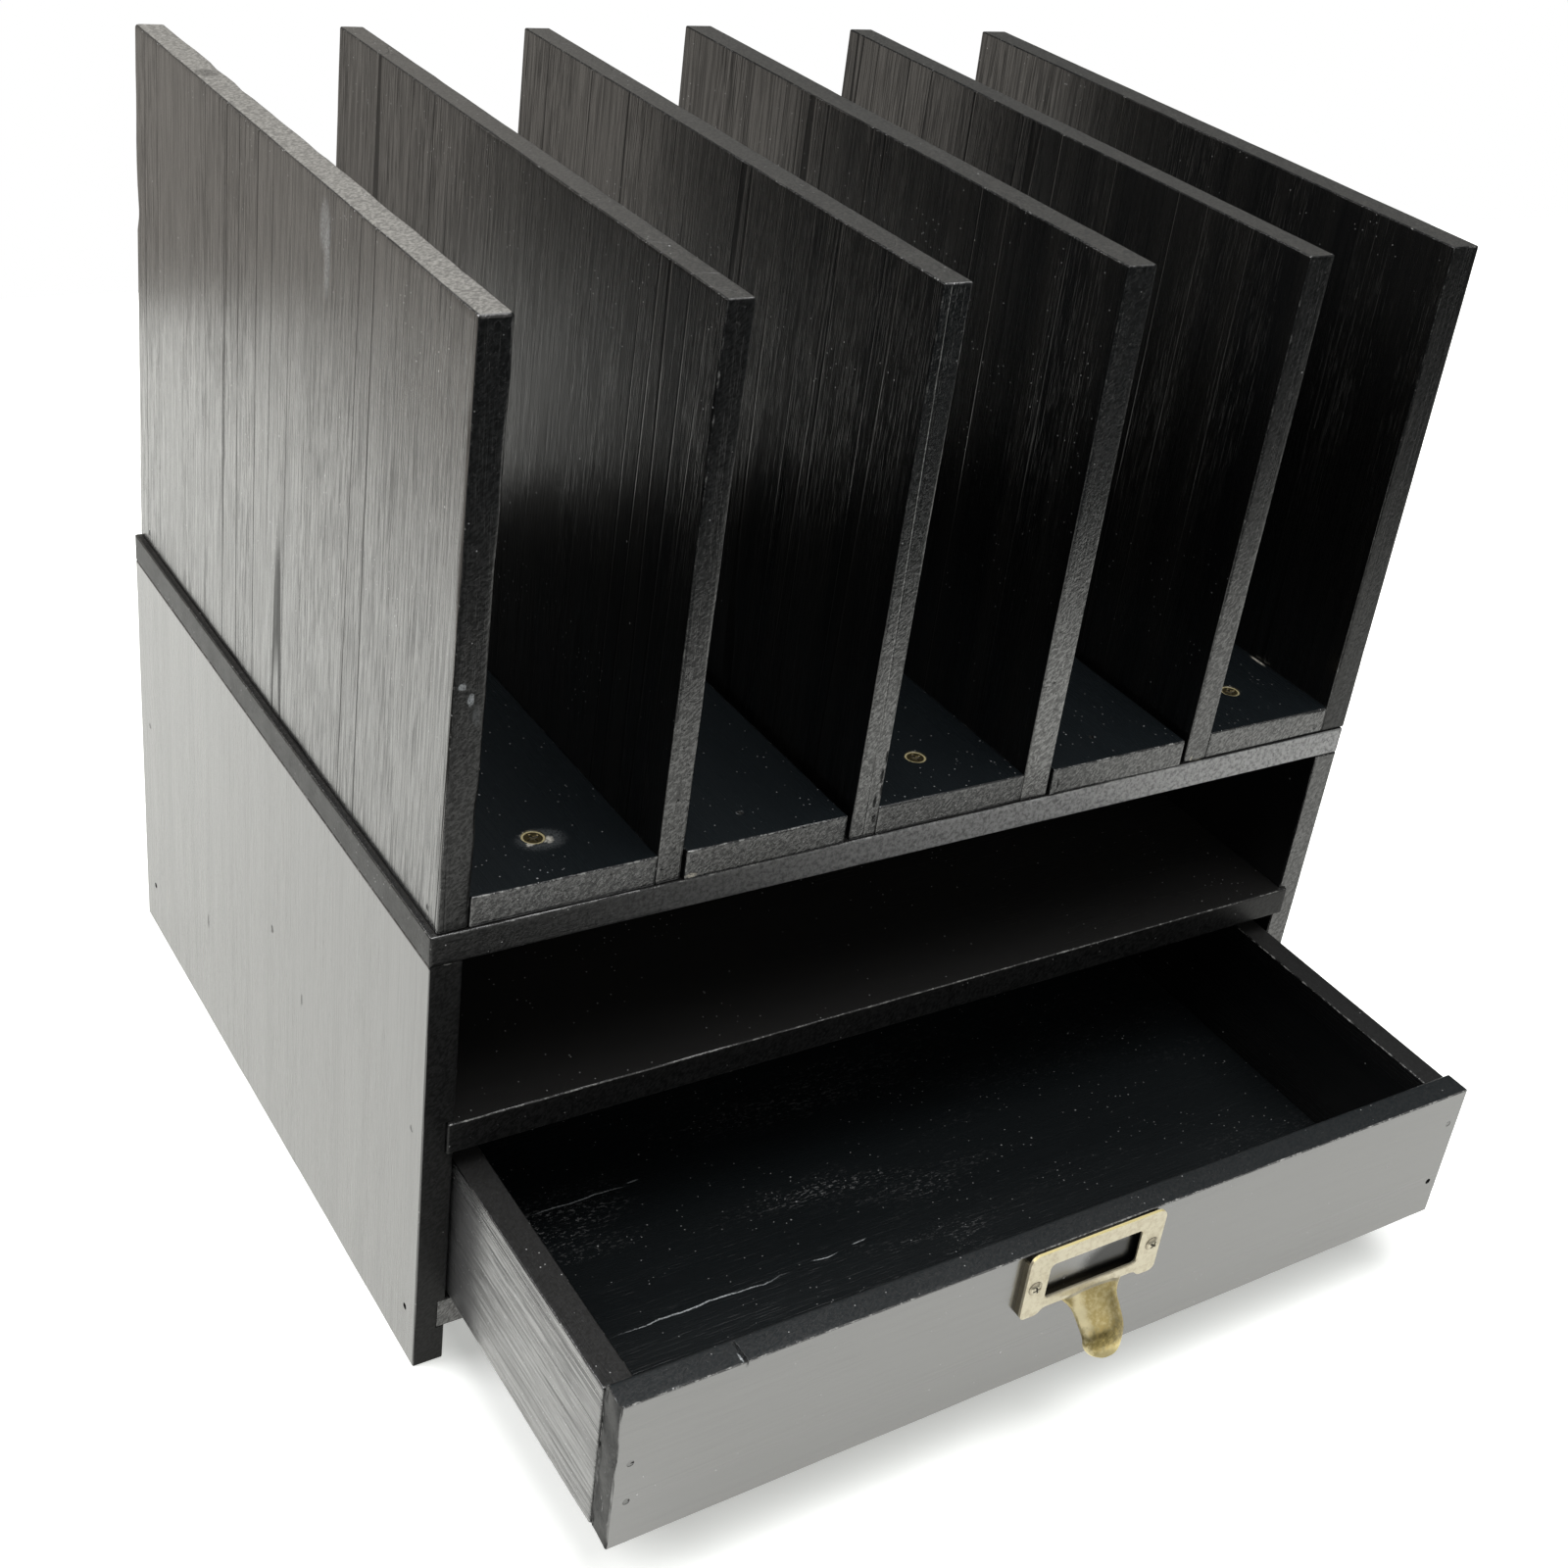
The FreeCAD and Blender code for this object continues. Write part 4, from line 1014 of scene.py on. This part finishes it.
# The object's footprint: half the sides of a rectangle round the middle, and how far the painted shadow
# reaches beyond it.
FOOT_HALF = (0.19, 0.19)
PAINTED_SHADOW_REACH = 0.045
ON_TABLE = (1, 1, 0)

ROOM_DARK = grey(0.03, (0.85, 1, 1.07))
WALL_PALE = grey(0.42, (1.07, 1, 0.91))
FRONT_LIGHT = grey(0.8, (1.0, 0.99, 0.96))


def table_paint():
    """White paint. To the camera it is lifted to white away from the object and less near it, which paints a
    shadow round and under it; in reflections it is lifted less within about half a metre of the middle.
    """
    material, t = new_material("table_white")
    path = t.add("ShaderNodeLightPath").outputs
    mirrored = t.math("MAXIMUM", path["Is Glossy Ray"], path["Is Transmission Ray"])
    place = t.place()
    gap = t.vector("SUBTRACT", t.vector("ABSOLUTE", place), (*FOOT_HALF, 0))
    gap = t.vector("LENGTH", t.vector("MAXIMUM", t.vector("MULTIPLY", gap, ON_TABLE), (0, 0, 0)))
    away = t.vector("LENGTH", t.vector("MULTIPLY", place, ON_TABLE))
    # Less glow near and under the footprint: a painted shadow.
    glow_with_painted_shadow = t.span(gap, 0.0, PAINTED_SHADOW_REACH, CAMERA_LIFT, 1.0, smooth=False)
    far_glow = t.span(away, 0.45, 1.1, MIRROR_LIFT, 1.0)
    lift = t.math("ADD", t.product(path["Is Camera Ray"], glow_with_painted_shadow), t.product(mirrored, far_glow))
    white = t.add("ShaderNodeBsdfDiffuse", {"Color": t.blend(mirrored, TABLE_WHITE, TABLE_SEEN)})
    glow_tone = t.blend(mirrored, CAMERA_GLOW, MIRROR_GLOW)
    glow = t.add("ShaderNodeEmission", {"Color": glow_tone, "Strength": lift})
    both = t.add("ShaderNodeAddShader", {0: white.outputs[0], 1: glow.outputs[0]})
    t.add("ShaderNodeOutputMaterial", {"Surface": both.outputs[0]})
    return material


def table():
    (x0, y0), (x1, y1) = TABLE_LOW, TABLE_HIGH
    mesh = bpy.data.meshes.new("table_top")
    mesh.from_pydata([(x0, y0, 0), (x1, y0, 0), (x1, y1, 0), (x0, y1, 0)], [], [(0, 1, 2, 3)])
    mesh.materials.append(table_paint())
    link("table_top", mesh)


def studio_world():
    """White to the camera. Else a dark room with a pale wall at the back left and a soft light in front."""
    world = bpy.data.worlds.new("studio")
    bpy.context.scene.world = world
    t = Tree(world)
    look = t.parts(t.add("ShaderNodeTexCoord").outputs["Generated"])
    wall = t.product(t.span(look[X], 0.25, 0.58, 1, 0), t.span(look[Y], -0.25, 0.3))
    wall = t.product(wall, t.span(look[Z], 0.25, 0.5, 1, 0))
    front = t.product(t.span(look[Y], -0.7, -0.35, 1, 0), t.span(look[Z], 0.08, 0.28))
    front = t.product(front, t.span(look[Z], 0.55, 0.75, 1, 0))
    room = t.blend(front, t.blend(wall, ROOM_DARK, WALL_PALE), FRONT_LIGHT)
    seen = t.add("ShaderNodeLightPath").outputs["Is Camera Ray"]
    background = t.add("ShaderNodeBackground", {"Color": t.blend(seen, room, grey(1.0))})
    t.add("ShaderNodeOutputWorld", {"Surface": background.outputs[0]})


def turned(holder, place, turn):
    holder.location = place
    holder.rotation_euler = turn


def lamp(name, place, aim, size, power):
    light = bpy.data.lights.new(name, "AREA")
    light.shape = "SQUARE"
    light.size = size
    light.energy = power
    direction = Vector(aim) - Vector(place)
    turned(link(name, light), place, direction.to_track_quat("-Z", "Y").to_euler())


def camera():
    data = bpy.data.cameras.new("camera")
    data.lens = CAMERA_LENS
    data.sensor_width = CAMERA_SENSOR
    data.sensor_fit = "HORIZONTAL"
    data.shift_x, data.shift_y = CAMERA_SHIFT
    data.clip_start = CAMERA_CLIP
    holder = link("camera", data)
    turned(holder, CAMERA_PLACE, CAMERA_TURN)
    bpy.context.scene.camera = holder


def studio():
    table()
    studio_world()
    aim = (0, 0, 0.1)
    lamp("key", (-1.5, 0.6, 1.7), aim, size=1.2, power=32)
    lamp("overhead", (0.2, -0.2, 2.2), aim, size=1.8, power=40)
    camera()
    bpy.context.scene.view_settings.view_transform = "Standard"


dress_boards()
dress_metal()
studio()
